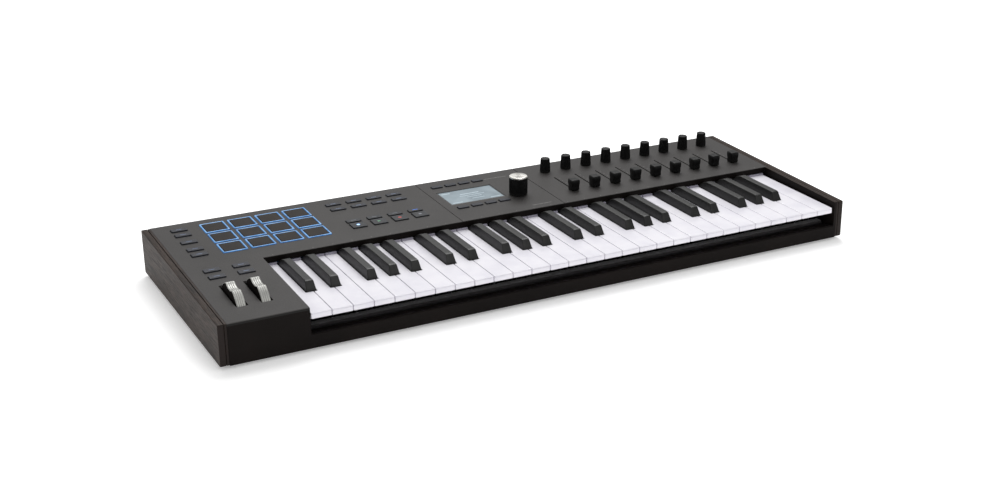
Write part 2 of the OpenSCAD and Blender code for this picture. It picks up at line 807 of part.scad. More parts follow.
module encoder_shaft() {
    color("#b9bcc0") from_corner() on_panel(encoder_x, encoder_y) translate([0, 0, -8.4])
        cylinder(d = shaft_d, h = encoder_h + 8.4 - 4);
}

// Knurled encoder knob with a bevelled metal cap
module encoder_knob() {
    flutes = 40;
    color("#c9c7c2") from_corner() on_panel(encoder_x, encoder_y) difference() {
        rotate_extrude() polygon([[0, 1.4], [encoder_d / 2, 1.4], [encoder_d / 2, encoder_h - 2.6],
            [encoder_d / 2 - 0.2, encoder_h - 2.2], [encoder_d / 2 - 1.4, encoder_h], [0, encoder_h]]);
        cylinder(r = shaft_d / 2 + fit, h = encoder_h - 3.4);
        for (i = [0:flutes - 1])
            rotate([0, 0, i * 360 / flutes]) translate([encoder_d / 2 + 0.25, 0, 0])
                cylinder(r = 0.6, h = encoder_h - 3.4, $fn = 16);
    }
}

// Wheel seen along its axle: a full core, a rim over the upper part and a thumb groove
module wheel(i) {
    h = wheel_w / 2 + 2 + bracket_t + axle_end;
    color("#b5b5b0") from_corner() translate([side_t + wheel_x + i * wheel_pitch, wheel_y, wheel_z])
        rotate([0, 90, 0]) {
            difference() {
                translate([0, 0, -wheel_w / 2]) union() {
                    cylinder(r = wheel_core_r, h = wheel_w, $fn = 96);
                    intersection() {
                        cylinder(r = wheel_r, h = wheel_w, $fn = 96);
                        linear_extrude(wheel_w) polygon([[0, 0],
                            [wheel_r * 2 * -cos(wheel_sector), -wheel_r * 2 * sin(wheel_sector)],
                            [-wheel_r * 2, -wheel_r * 2], [-wheel_r * 2, wheel_r * 2],
                            [wheel_r * 2 * -cos(wheel_sector), wheel_r * 2 * sin(wheel_sector)]]);
                    }
                }
                rotate([0, 0, groove_angle]) translate([-wheel_r - thumb_r + thumb_depth, 0, -wheel_w])
                    cylinder(r = thumb_r, h = 2 * wheel_w);
            }
            translate([0, 0, -h]) cylinder(d = axle_d, h = 2 * h);
        }
}

// Base with four uprights that carry the two axles
module wheel_bracket() {
    color("#2a2a2c") from_corner() difference() {
        union() {
            box([side_t + wheel_x - wheel_w - 2, wheel_y - 20, wall + seat],
                [side_t + wheel_x + wheel_pitch + wheel_w + 2, wheel_y + 20, wall + bracket_base]);
            for (i = [0, 1], s = [-wheel_w / 2 - 2 - bracket_t / 2, wheel_w / 2 + 2 + bracket_t / 2])
                translate([side_t + wheel_x + i * wheel_pitch + s, wheel_y, 0])
                    along_x(-bracket_t / 2, bracket_t / 2, [[-14, wall + seat], [14, wall + seat],
                        [7, wheel_z + axle_d + 1], [-7, wheel_z + axle_d + 1]]);
        }
        translate([0, wheel_y, wheel_z]) rotate([0, 90, 0]) cylinder(d = axle_d + 2 * fit, h = body_w);
    }
}

// Power, USB, five-pin and two pedal sockets, each behind its window in the rear wall
module rear_sockets() {
    color("#202022") from_corner() {
        for (x = jack_x) pedal_socket(x);
        din_socket();
        usb_socket();
        dc_socket();
    }
}

module pedal_socket(x) {
    translate([x, body_d, socket_z + jack_h / 2]) rotate([90, 0, 0]) difference() {
        union() {
            box([-jack_w / 2, -jack_h / 2, wall + seat], [jack_w / 2, jack_h / 2, jack_l]);
            cylinder(r = jack_ring_r, h = jack_l / 2);
        }
        translate([0, 0, -1]) cylinder(d = jack_bore, h = jack_depth + 1);
    }
}

module din_socket() {
    translate([din_x, body_d - wall - seat, socket_z + din_h / 2]) rotate([90, 0, 0]) difference() {
        box([-din_w / 2, -din_h / 2, 0], [din_w / 2, din_h / 2, din_l]);
        translate([0, 0, -1]) cylinder(d = din_bore, h = din_depth + 1);
        for (a = [0:45:180])
            translate([5 * cos(a), 5 * sin(a), 0]) cylinder(r = 0.8, h = din_l - 2, $fn = 16);
    }
}

module usb_socket() {
    translate([usb_x, body_d, socket_z + usb_h / 2]) rotate([90, 0, 0]) {
        difference() {
            box([-usb_w / 2, -usb_h / 2, 0.4], [usb_w / 2, usb_h / 2, usb_l]);
            box([-usb_hole[0] / 2, -usb_hole[1] / 2, 0], [usb_hole[0] / 2, usb_hole[1] / 2, 10]);
        }
        box([-usb_tongue[0] / 2, -usb_tongue[1] / 2, 2], [usb_tongue[0] / 2, usb_tongue[1] / 2, 11]);
    }
}

module dc_socket() {
    translate([dc_x, body_d - wall - seat, socket_z + dc_h / 2]) rotate([90, 0, 0]) {
        difference() {
            box([-dc_w / 2, -dc_h / 2, 0], [dc_w / 2, dc_h / 2, dc_l]);
            translate([0, 0, -1]) cylinder(d = dc_bore, h = 10);
        }
        cylinder(d = dc_pin, h = 10);
    }
}

bottom_case();
top_panel();
side_panel(0);  // left_side_panel
side_panel(body_w - side_t);  // right_side_panel
keybed_frame();
key_pivot_rod();
key_contact_board();
key_springs();
key_felts();
circuit_boards();
display_module();
display_window();
pad_light_frames();
knob_potentiometers();
fader_tracks();
encoder_base();
wheel_bracket();
rear_sockets();
feet();
case_screws();
for (s = [0:11])
    keys_step(s);
for (i = [1:channels])
    knob(i);
for (i = [1:channels])
    fader(i);
encoder_shaft();
encoder_knob();
wheel(0);  // pitch_wheel
wheel(1);  // modulation_wheel
pads();
column_buttons();
wheel_buttons();
grid_buttons();
transport_buttons();
display_buttons();
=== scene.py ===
"""Keyboard controller: keys, pads, wheels, knobs, faders, buttons and a display between two wooden cheeks.

Every length is in metres, in the frame's own axes: X along the keys, Y from the player to the back, Z up.
"""

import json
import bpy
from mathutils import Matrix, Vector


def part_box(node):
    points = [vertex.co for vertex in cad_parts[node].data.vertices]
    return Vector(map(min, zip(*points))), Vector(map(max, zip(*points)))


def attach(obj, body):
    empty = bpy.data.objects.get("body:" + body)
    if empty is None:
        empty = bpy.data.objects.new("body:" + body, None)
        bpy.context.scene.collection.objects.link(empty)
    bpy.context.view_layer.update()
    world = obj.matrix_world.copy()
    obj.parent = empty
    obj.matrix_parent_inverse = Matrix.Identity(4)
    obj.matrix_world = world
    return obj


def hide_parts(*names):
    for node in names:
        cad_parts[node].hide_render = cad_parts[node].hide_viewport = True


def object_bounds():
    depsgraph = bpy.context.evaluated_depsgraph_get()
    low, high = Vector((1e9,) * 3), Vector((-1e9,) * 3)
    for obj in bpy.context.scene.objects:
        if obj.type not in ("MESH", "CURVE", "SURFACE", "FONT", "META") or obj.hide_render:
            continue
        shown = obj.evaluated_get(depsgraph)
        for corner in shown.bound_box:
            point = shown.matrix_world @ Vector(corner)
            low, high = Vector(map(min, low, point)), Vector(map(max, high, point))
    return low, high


bl_info = {
    "name": "Keyboard controller",
    "version": (1, 0, 0),
    "blender": (4, 5, 0),
    "location": "View3D > Sidebar > Keyboard controller",
    "description": "Makes the shapes, finishes and stage of a keyboard controller around its frame",
    "category": "Object",
}

from math import cos, pi, radians, sin

import bmesh
import bpy
import numpy as np
from bpy.props import FloatProperty, IntProperty
from bpy.types import Operator, Panel, PropertyGroup
from mathutils import Matrix, Vector

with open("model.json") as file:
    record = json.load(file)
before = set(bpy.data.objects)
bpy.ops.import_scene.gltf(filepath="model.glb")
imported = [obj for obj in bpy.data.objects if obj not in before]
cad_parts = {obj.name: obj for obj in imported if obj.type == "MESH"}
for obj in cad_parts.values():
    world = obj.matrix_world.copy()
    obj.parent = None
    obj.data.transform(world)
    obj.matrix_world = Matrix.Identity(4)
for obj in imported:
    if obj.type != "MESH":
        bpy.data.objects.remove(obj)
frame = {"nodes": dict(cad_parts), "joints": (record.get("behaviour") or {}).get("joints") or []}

CAD_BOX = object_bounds()
MM = 0.001
WHITE_NOTES = {0: "c", 2: "d", 4: "e", 5: "f", 7: "g", 9: "a", 11: "b"}
BLACK_NOTES = {1: "c_sharp", 3: "d_sharp", 6: "f_sharp", 8: "g_sharp", 10: "a_sharp"}
CHANNELS = range(1, 10)


# ---- Measuring the frame ----

def joint(name):
    """The frame's joint of that name."""
    return next(j for j in frame["joints"] if j["name"] == name)


def corners_of(node):
    """All corners of a CAD node, one row each."""
    mesh = frame["nodes"][node].data
    points = np.empty(3 * len(mesh.vertices))
    mesh.vertices.foreach_get("co", points)
    return points.reshape(-1, 3)


def solids_of(node):
    """The corners of each separate solid in a CAD node, from left to right and front to back.

    Corners at one place share a number. The least number on each triangle spreads to its other
    corners, again and again, until every solid has one number of its own.
    """
    mesh = frame["nodes"][node].data
    points = corners_of(node)
    _, corner = np.unique(np.round(points, 6), axis=0, return_inverse=True)
    corner = corner.ravel()
    loops = np.empty(len(mesh.loops), np.int32)
    mesh.loops.foreach_get("vertex_index", loops)
    triangles = corner[loops].reshape(-1, 3)
    label = np.arange(corner.max() + 1)
    while True:
        before = label.copy()
        np.minimum.at(label, triangles.ravel(), np.repeat(label[triangles].min(axis=1), 3))
        label = label[label]
        if (label == before).all():
            break
    solids = [points[label[corner] == number] for number in np.unique(label)]
    return sorted(solids, key=lambda s: (round(s[:, 0].min(), 4), round(s[:, 1].min(), 4)))


def panel_axes():
    """The panel's own axes as rows: along the keys, up the slope, and out of the panel."""
    out = np.array(joint("knob_1_turn")["axis"], float)
    out /= np.linalg.norm(out)
    return np.array([[1, 0, 0], [0, out[2], -out[1]], out])


PANEL_AXES = panel_axes()
PANEL_ORIGIN = np.array(joint("knob_1_turn")["pos_m"], float)


def to_panel(points):
    """Points in the frame's axes, seen from the panel: along the keys, up the slope, and height above it."""
    return (np.asarray(points) - PANEL_ORIGIN) @ PANEL_AXES.T


def from_panel(points):
    """The reverse of to_panel."""
    return PANEL_ORIGIN + np.asarray(points) @ PANEL_AXES


def caps_of(node):
    """For each solid of a node, the low and high corner of what stands above the panel."""
    found = []
    for solid in solids_of(node):
        local = to_panel(solid)
        local = local[local[:, 2] > 0]
        if len(local):
            found.append((local.min(axis=0), local.max(axis=0)))
    return found


def panel_edge():
    """How far down the slope the panel's edge over the keys lies."""
    local = to_panel(corners_of("top_panel"))
    past_encoder = local[:, 0] > to_panel(joint("encoder_turn")["pos_m"])[0]
    return local[past_encoder & (np.abs(local[:, 2]) < 0.01 * MM), 1].min()


# ---- Shapes ----

def loft(rings, closed=False):
    """Skin through rings of points: a face between every two neighbours on two rings that follow each
    other. The first and last rings are filled, or they join each other where closed is true."""
    rings = np.asarray(rings, float)
    count, size = rings.shape[:2]
    row = np.arange(count if closed else count - 1)[:, None]
    column = np.arange(size)[None, :]
    here, ahead = row * size, (row + 1) % count * size
    beside = (column + 1) % size
    quads = np.stack(np.broadcast_arrays(
        here + column, here + beside, ahead + beside, ahead + column), axis=-1).reshape(-1, 4)
    faces = quads.tolist()
    if not closed:
        faces += [list(range(size))[::-1], list(range((count - 1) * size, count * size))]
    return rings.reshape(-1, 3), faces


def rounded(outline, radius, steps=4):
    """Outline with its corners turned into arcs. An arc starts where a circle of that radius touches the
    edge before the corner, and turns through the angle between the edges on both sides of the corner."""
    outline = np.asarray(outline, float)
    after = np.roll(outline, -1, axis=0) - outline
    after /= np.linalg.norm(after, axis=1, keepdims=True)
    before = np.roll(after, 1, axis=0)
    left = np.stack([-before[:, 1], before[:, 0]], axis=1)
    turn = np.arctan2((left * after).sum(axis=1), (before * after).sum(axis=1))
    radius = np.broadcast_to(np.asarray(radius, float), turn.shape)
    start = outline - before * (radius * np.tan(np.abs(turn) / 2))[:, None]
    angle = np.abs(turn)[:, None] * np.linspace(0, 1, steps + 1)
    along = np.sin(angle)[..., None] * before[:, None]
    across = (np.sign(turn)[:, None] * (1 - np.cos(angle)))[..., None] * left[:, None]
    return (start[:, None] + radius[:, None, None] * (along + across)).reshape(-1, 2)


def inset(outline, depth):
    """Outline moved inwards: each point goes along the sum of its two edges' inward directions, so far
    that both edges move by depth. One outline comes back for each depth."""
    after = np.roll(outline, -1, axis=0) - outline
    after /= np.linalg.norm(after, axis=1, keepdims=True)
    inward = np.stack([-after[:, 1], after[:, 0]], axis=1)
    previous = np.roll(inward, 1, axis=0)
    shift = (inward + previous) / (1 + (inward * previous).sum(axis=1, keepdims=True))
    return outline + np.asarray(depth, float)[:, None, None] * shift


def rim(depth, height, radius, steps=3):
    """Quarter circle from an upright side to a flat top, as pairs of inset and height, with one more
    pair just inside it that keeps the flat face flat where it is shaded."""
    angle = np.linspace(0, pi / 2, steps + 1)
    pairs = np.column_stack([depth + radius * (1 - np.cos(angle)),
                             height - radius + radius * np.sin(angle)])
    return np.vstack([pairs, [depth + 1.25 * radius, height]])


def stack(outline, pairs):
    """Rings of an outline, one for each pair of inset and height."""
    pairs = np.asarray(pairs, float)
    flat = inset(outline, pairs[:, 0])
    height = np.broadcast_to(pairs[:, 1, None, None], flat.shape[:2] + (1,))
    return np.concatenate([flat, height], axis=2)


def block(outline, low, high, edge):
    """Solid of that outline from low to high, with a rounded edge round its top."""
    return stack(outline, np.vstack([[[0.0, low]], rim(0.0, high, edge)]))


def rectangle(low, high):
    """Corners of an upright rectangle, anticlockwise."""
    return np.array([[low[0], low[1]], [high[0], low[1]], [high[0], high[1]], [low[0], high[1]]])


def turned(radii, heights, count, wave=None):
    """Rings of a turned shape: a circle of each radius at its height. wave gives a share of the radius
    that is taken off, for an angle and a ring number."""
    angle = np.linspace(0, 2 * pi, count, endpoint=False)
    radii = np.asarray(radii, float)[:, None] * np.ones(count)
    if wave is not None:
        radii = radii * (1 - wave(angle[None, :], np.arange(len(heights))[:, None]))
    height = np.broadcast_to(np.asarray(heights, float)[:, None], radii.shape)
    return np.stack([radii * np.cos(angle), radii * np.sin(angle), height], axis=-1)


def slab(outline, low, high):
    """Rings of a flat plate of that outline between two heights."""
    return np.stack([np.column_stack([outline, np.full(len(outline), z)]) for z in (low, high)])


def on_panel(rings, centre=(0.0, 0.0)):
    """Rings in the panel's axes, round a centre on it, brought into the frame's axes."""
    return from_panel(rings + np.array([centre[0], centre[1], 0.0]))


def swung(section, turn):
    """A section of places along an axle and distances from it, turned about the axle from upright."""
    across, far = np.asarray(section).T
    return np.column_stack([across, far * np.sin(turn), far * np.cos(turn)])


def along_x(rings):
    """Rings drawn as (y, z, x), brought into the frame's axes."""
    return np.asarray(rings)[..., [2, 0, 1]]


def make_piece(name, shells, material, body, nodes=(), crease=38.0):
    """One object from closed shells. It rides on a body, stands for the CAD nodes named, and takes its
    finish from a material slot. Faces that meet at less than the crease angle are shaded as one."""
    points, faces, count = [], [], 0
    for shell_points, shell_faces in shells:
        points.append(shell_points)
        faces += [[corner + count for corner in face] for face in shell_faces]
        count += len(shell_points)
    mesh = bpy.data.meshes.new(name)
    mesh.from_pydata(np.vstack(points), [], faces)
    work = bmesh.new()
    work.from_mesh(mesh)
    bmesh.ops.recalc_face_normals(work, faces=work.faces)
    work.to_mesh(mesh)
    work.free()
    mesh.shade_smooth()
    mesh.set_sharp_from_angle(angle=radians(crease))
    mesh.materials.append(material)
    piece = bpy.data.objects.new(name, mesh)
    bpy.context.scene.collection.objects.link(piece)
    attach(piece, body)
    if nodes:
        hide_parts(*nodes)
    return piece


# ---- Finishes ----

# Places of the colour sockets on a mix node
FIRST_COLOUR, SECOND_COLOUR, MIXED_COLOUR = 6, 7, 2


def linear(code):
    """Linear colour of an sRGB hex code, opaque."""
    share = np.array([int(code[i:i + 2], 16) for i in (1, 3, 5)]) / 255
    curve = np.where(share <= 0.04045, share / 12.92, ((share + 0.055) / 1.055) ** 2.4)
    return (*curve.tolist(), 1.0)


def add_node(material, kind, links=None, **settings):
    """Adds a node to a material. A setting names a property or an input, and links says which output
    feeds which input."""
    node = material.node_tree.nodes.new(kind)
    for key, value in settings.items():
        if hasattr(node, key):
            setattr(node, key, value)
        else:
            node.inputs[key.replace("_", " ")].default_value = value
    for name, output in (links or {}).items():
        material.node_tree.links.new(output, node.inputs[name])
    return node


def new_material(name, colour, roughness, metallic=0.0, **shader):
    """A material with its shader, whose even values are set on the shader's own sockets."""
    material = bpy.data.materials.new(name)
    material.use_nodes = True
    node = material.node_tree.nodes["Principled BSDF"]
    node.inputs["Base Color"].default_value = linear(colour)
    node.inputs["Roughness"].default_value = roughness
    node.inputs["Metallic"].default_value = metallic
    for key, value in shader.items():
        node.inputs[key.replace("_", " ")].default_value = value
    material.diffuse_color = linear(colour)
    return material


def shader_of(material):
    return material.node_tree.nodes["Principled BSDF"]


def object_space(material, stretch=(1.0, 1.0, 1.0), turn=(0.0, 0.0, 0.0)):
    """Object coordinates in millimetres, stretched along the axes."""
    place = add_node(material, "ShaderNodeTexCoord").outputs["Object"]
    mapping = add_node(material, "ShaderNodeMapping", {"Vector": place})
    mapping.inputs["Scale"].default_value = [1000.0 * s for s in stretch]
    mapping.inputs["Rotation"].default_value = turn
    return mapping.outputs["Vector"]


def noise(material, vector, size_mm, detail=3.0, roughness=0.55):
    """Noise whose blobs are about size_mm across."""
    return add_node(material, "ShaderNodeTexNoise", {"Vector": vector},
                    Scale=1.0 / size_mm, Detail=detail, Roughness=roughness).outputs["Fac"]


def ramp(material, factor, stops):
    """Colour ramp through pairs of place and hex colour."""
    node = add_node(material, "ShaderNodeValToRGB", {"Fac": factor})
    elements = node.color_ramp.elements
    while len(elements) < len(stops):
        elements.new(0.5)
    for element, (place, colour) in zip(elements, stops):
        element.position = place
        element.color = linear(colour)
    return node.outputs["Color"]


def spread(material, factor, low, high):
    """A factor from 0.3 to 0.7 spread over low to high."""
    return add_node(material, "ShaderNodeMapRange", {"Value": factor}, From_Min=0.3, From_Max=0.7,
                    To_Min=low, To_Max=high).outputs["Result"]


def surface(material, colour=None, roughness=None, height=None, depth_mm=0.02):
    """Feeds a pattern's colour, roughness and height into a material's shader."""
    links = material.node_tree.links
    if colour is not None:
        links.new(colour, shader_of(material).inputs["Base Color"])
    if roughness is not None:
        links.new(roughness, shader_of(material).inputs["Roughness"])
    if height is not None:
        bump = add_node(material, "ShaderNodeBump", {"Height": height}, Strength=1.0,
                        Distance=depth_mm * MM)
        links.new(bump.outputs["Normal"], shader_of(material).inputs["Normal"])
    return material


def grained(name, stops, roughness, grain_mm=0.5, depth_mm=0.02, blotch_mm=40.0, swing=0.05,
            stretch=(1.0, 1.0, 1.0), metallic=0.0, **shader):
    """A finish with a fine grain in its height and a slow change in its colour and its gloss."""
    material = new_material(name, stops[len(stops) // 2][1], roughness, metallic, **shader)
    space = object_space(material, stretch)
    slow = noise(material, space, blotch_mm)
    fine = noise(material, space, grain_mm, detail=2.0)
    return surface(material, ramp(material, slow, stops),
                   spread(material, fine, roughness - swing, roughness + swing), fine, depth_mm)


def front_dark_and_shade(material, colour, dark_and_shade_colour, start_mm, end_mm):
    """A colour that turns into another one on the last millimetre before the case's front. The other colour
    is darker and paints the shade on the front faces, which turn away from the lights.
    """
    place = add_node(material, "ShaderNodeSeparateXYZ", {"Vector": object_space(material)}).outputs["Y"]
    front = CAD_BOX[0][1] / MM
    inside = add_node(material, "ShaderNodeMapRange", {"Value": place}, From_Min=front + start_mm,
                      From_Max=front + end_mm).outputs["Result"]
    mix = add_node(material, "ShaderNodeMix", {"Factor": inside}, data_type="RGBA")
    mix.inputs[FIRST_COLOUR].default_value = linear(dark_and_shade_colour)
    material.node_tree.links.new(colour, mix.inputs[SECOND_COLOUR])
    return mix.outputs[MIXED_COLOUR]


def powder_coated_steel():
    """Sheet steel with a warm grey powder coat: an even, slightly pebbled face with a broad soft gloss,
    and near black on the folded front edge, partly the edge's own black and partly painted shade of the
    front face. The real pebble is about 0.2 mm, and it is drawn at 0.9 mm so that it shows."""
    material = new_material("powder_coated_steel", "#393736", 0.55, Specular_IOR_Level=0.2)
    space = object_space(material)
    tint = ramp(material, noise(material, space, 55.0),
                [(0.3, "#373534"), (0.5, "#3a3837"), (0.7, "#3d3b3a")])
    # Near-black front edge: partly the edge's own black, partly painted shade of the front face
    tint_and_front_shade = front_dark_and_shade(material, tint, "#151413", 0.25, 0.6)
    fine = noise(material, space, 0.9, detail=2.0)
    return surface(material, tint_and_front_shade, spread(material, fine, 0.49, 0.61), fine, 0.05)


def moulded_abs_black():
    """ABS moulded with a spark-eroded grain: near black, with a dull even sheen."""
    return grained("moulded_abs_black", [(0.3, "#0e0a09"), (0.5, "#110d0b"), (0.7, "#15100e")], 0.6,
                   grain_mm=0.8, depth_mm=0.03, blotch_mm=60.0, IOR=1.54, Specular_IOR_Level=0.08)


def stained_walnut():
    """Walnut cheeks, stained dark and oiled: long dark pores along the grain over slow brown figure, and
    near-black front ends, which are painted shade on the faces that turn away from the lights."""
    material = new_material("stained_walnut", "#4a3c34", 0.55, IOR=1.5, Specular_IOR_Level=0.2)
    space = object_space(material, (1.0, 0.09, 1.0))
    figure = add_node(material, "ShaderNodeTexNoise", {"Vector": space}, Scale=1 / 7.0, Detail=5.0,
                      Roughness=0.6, Distortion=0.8).outputs["Fac"]
    pores = noise(material, object_space(material, (1.0, 0.045, 1.0)), 0.9, detail=3.0, roughness=0.7)
    tint = ramp(material, figure,
                [(0.3, "#1c1410"), (0.45, "#2c2019"), (0.58, "#372a22"), (0.75, "#241a14")])
    dark = ramp(material, pores, [(0.36, "#3c3c3c"), (0.52, "#ffffff")])
    mix = add_node(material, "ShaderNodeMix", data_type="RGBA", blend_type="MULTIPLY")
    material.node_tree.links.new(tint, mix.inputs[FIRST_COLOUR])
    material.node_tree.links.new(dark, mix.inputs[SECOND_COLOUR])
    mix.inputs["Factor"].default_value = 0.75
    # The front ends darken to #1d1512 as painted shade on the faces away from the lights
    board = front_dark_and_shade(material, mix.outputs[MIXED_COLOUR], "#1d1512", 0.2, 0.9)
    return surface(material, board, spread(material, pores, 0.66, 0.5), pores, depth_mm=0.12)


def polished_key_white():
    """Acrylic-coated key tops: bright, faintly violet white with a clear soft gloss."""
    return grained("polished_key_white", [(0.35, "#e4e2ea"), (0.5, "#e9e7ee"), (0.65, "#edebf1")], 0.22,
                   grain_mm=2.5, depth_mm=0.006, blotch_mm=30.0, swing=0.03, IOR=1.49,
                   Subsurface_Weight=0.05, Subsurface_Radius=(0.002, 0.002, 0.002), Coat_Weight=0.15,
                   Coat_Roughness=0.12)


def shaded_key_grey():
    """The rear ends of the white keys: the key white darkened to a pale lavender grey, which paints the
    shade under the panel's edge on them; matt, with a slow random tone.
    """
    return grained("shaded_key_grey", [(0.35, "#9692a0"), (0.5, "#9f9ba9"), (0.65, "#a7a3b1")], 0.5,
                   grain_mm=0.9, depth_mm=0.02, blotch_mm=12.0, swing=0.05, IOR=1.49)


def brushed_key_black():
    """Black keys moulded with a fine lengthwise texture, which spreads the gloss across the key."""
    return grained("brushed_key_black", [(0.3, "#141414"), (0.5, "#1b1b1a"), (0.7, "#232322")], 0.4,
                   grain_mm=0.55, depth_mm=0.045, blotch_mm=14.0, swing=0.07, stretch=(1.0, 0.06, 1.0),
                   IOR=1.54, Specular_IOR_Level=0.28)


def soft_touch_black():
    """Soft-touch lacquer on knobs and fader caps: deep black with a velvety edge."""
    return grained("soft_touch_black", [(0.3, "#090909"), (0.5, "#0c0c0c"), (0.7, "#10100f")], 0.42,
                   grain_mm=0.6, depth_mm=0.012, blotch_mm=9.0, swing=0.05, IOR=1.5,
                   Specular_IOR_Level=0.18, Sheen_Weight=0.02, Sheen_Roughness=0.4)


def turned_aluminium():
    """Turned and clear-anodised aluminium: bright, with fine circles from the tool."""
    material = new_material("turned_aluminium", "#d6d4cf", 0.3, 1.0, Anisotropic=0.4)
    space = object_space(material)
    fine = noise(material, space, 0.7, detail=2.0)
    slow = noise(material, space, 6.0)
    return surface(material, ramp(material, slow, [(0.3, "#cac8c2"), (0.7, "#e2e0db")]),
                   spread(material, fine, 0.24, 0.36), fine, 0.006)


def silver_wheel():
    """Silver-painted wheel rim, satin, with metal flake in the paint."""
    return grained("silver_wheel", [(0.3, "#a5a5a1"), (0.5, "#b2b2ae"), (0.7, "#bfbfba")], 0.36,
                   grain_mm=0.5, depth_mm=0.004, blotch_mm=12.0, swing=0.03, metallic=0.35)


def pad_silicone():
    """Moulded silicone pads: dark brown-black, matt and slightly soft at the edge."""
    return grained("pad_silicone", [(0.3, "#1f1a17"), (0.5, "#241f1b"), (0.7, "#2a2420")], 0.6,
                   grain_mm=0.9, depth_mm=0.04, blotch_mm=12.0, swing=0.05, Sheen_Weight=0.03,
                   Specular_IOR_Level=0.12)


def satin_button():
    """Button caps in satin blue-black polycarbonate."""
    return grained("satin_button", [(0.3, "#1d1f26"), (0.5, "#23252d"), (0.7, "#2a2c35")], 0.4,
                   grain_mm=0.5, depth_mm=0.012, blotch_mm=8.0, swing=0.05, IOR=1.58,
                   Specular_IOR_Level=0.2)


def grey_transport():
    """Transport caps: the same satin polycarbonate without the blue."""
    return grained("grey_transport", [(0.3, "#1f2125"), (0.5, "#25272b"), (0.7, "#2b2d32")], 0.42,
                   grain_mm=0.5, depth_mm=0.012, blotch_mm=8.0, swing=0.05, IOR=1.58,
                   Specular_IOR_Level=0.2)


def lit_light_guide():
    """Clear acrylic light guide with blue lamps under it: brighter in slow patches above the lamps. Faces
    that look up glow paler and whiter than the sides, which paints a highlight from above over the lamps'
    own blue.
    """
    material = new_material("lit_light_guide", "#2c6fb0", 0.3, IOR=1.49, Coat_Weight=0.2)
    slow = noise(material, object_space(material), 11.0, detail=1.0)
    side = ramp(material, slow, [(0.32, "#1763ac"), (0.5, "#2276c2"), (0.68, "#3a8ad0")])
    top = ramp(material, slow, [(0.32, "#5f9cce"), (0.5, "#7fb2dc"), (0.68, "#a3c8e4")])
    # Painted highlight: faces that look up get the paler top glow, and the sides keep the deeper blue
    facing = add_node(material, "ShaderNodeSeparateXYZ",
                      {"Vector": add_node(material, "ShaderNodeNewGeometry").outputs["Normal"]}).outputs["Z"]
    level = add_node(material, "ShaderNodeMapRange", {"Value": facing}, From_Min=0.55,
                     From_Max=0.95).outputs["Result"]
    glow = add_node(material, "ShaderNodeMix", {"Factor": level}, data_type="RGBA")
    material.node_tree.links.new(side, glow.inputs[FIRST_COLOUR])
    material.node_tree.links.new(top, glow.inputs[SECOND_COLOUR])
    material.node_tree.links.new(glow.outputs[MIXED_COLOUR], shader_of(material).inputs["Emission Color"])
    shader_of(material).inputs["Emission Strength"].default_value = 0.55
    return surface(material, ramp(material, slow, [(0.3, "#1c4c7c"), (0.7, "#2d6aa6")]))


def lit_screen():
    """Liquid crystal panel with its lamp on: pale grey-blue, a little uneven, under a clear sheet."""
    material = new_material("lit_screen", "#6f7d85", 0.12, IOR=1.5, Coat_Weight=0.5, Coat_Roughness=0.03)
    space = object_space(material, (1.0, 1.0, 0.2))
    slow = noise(material, space, 26.0, detail=1.0)
    glow = ramp(material, slow, [(0.3, "#8797a0"), (0.5, "#96a5ad"), (0.7, "#a3b1b9")])
    material.node_tree.links.new(glow, shader_of(material).inputs["Emission Color"])
    shader_of(material).inputs["Emission Strength"].default_value = 0.33
    return surface(material, ramp(material, slow, [(0.3, "#5b6870"), (0.7, "#74828a")]))


def printed_ink(name, colour, glow=0.0):
    """Screen-printed ink, thin and slightly broken at its edges, lit from behind where it glows."""
    material = new_material(name, colour, 0.55)
    grain = noise(material, object_space(material), 0.8, detail=2.0)
    node = shader_of(material)
    node.inputs["Emission Color"].default_value = linear(colour)
    node.inputs["Emission Strength"].default_value = glow
    return surface(material, height=grain, depth_mm=0.01)


def metal(name, low, high, roughness, stretch=(1.0, 1.0, 1.0)):
    """Plated or ground steel: grey, with fine lines along the way that it was worked."""
    return grained(name, [(0.3, low), (0.7, high)], roughness, grain_mm=0.4, depth_mm=0.01,
                   blotch_mm=15.0, stretch=stretch, metallic=1.0)


def solder_mask_green():
    """Glass-epoxy board under green solder mask, with its copper tracks faintly raised."""
    material = new_material("solder_mask_green", "#1f5c38", 0.35, Coat_Weight=0.3)
    space = object_space(material)
    tracks = add_node(material, "ShaderNodeTexBrick", {"Vector": space}, Scale=0.18,
                      Mortar_Size=0.06, Color1=linear("#1b5231"), Color2=linear("#1e5a37"),
                      Mortar=linear("#2f7d4c"))
    return surface(material, tracks.outputs["Color"], height=tracks.outputs["Fac"], depth_mm=0.04)


def pressed_felt():
    """Pressed wool felt: near black, matt, with short fibres lying every way."""
    return grained("pressed_felt", [(0.3, "#191719"), (0.5, "#1f1d1f"), (0.7, "#272527")], 0.92,
                   grain_mm=0.5, depth_mm=0.2, blotch_mm=5.0, Sheen_Weight=0.5)


def dipped_steel_black():
    """Folded steel dipped in black paint: thin, a little glossy, with slight runs along the folds."""
    return grained("dipped_steel_black", [(0.3, "#18181a"), (0.5, "#1d1d1e"), (0.7, "#232324")], 0.45,
                   grain_mm=1.4, depth_mm=0.03, blotch_mm=30.0, stretch=(0.3, 1.0, 1.0))


def moulded_rubber():
    """Moulded feet: black rubber with a dusty, matt skin."""
    return grained("moulded_rubber", [(0.3, "#121212"), (0.5, "#161616"), (0.7, "#1c1b1b")], 0.75,
                   grain_mm=0.7, depth_mm=0.04, blotch_mm=8.0)


def component_case():
    """Glass-filled nylon bodies of the controls on the boards."""
    return grained("component_case", [(0.3, "#434f42"), (0.7, "#56634f")], 0.5, grain_mm=0.6,
                   depth_mm=0.02, blotch_mm=6.0)


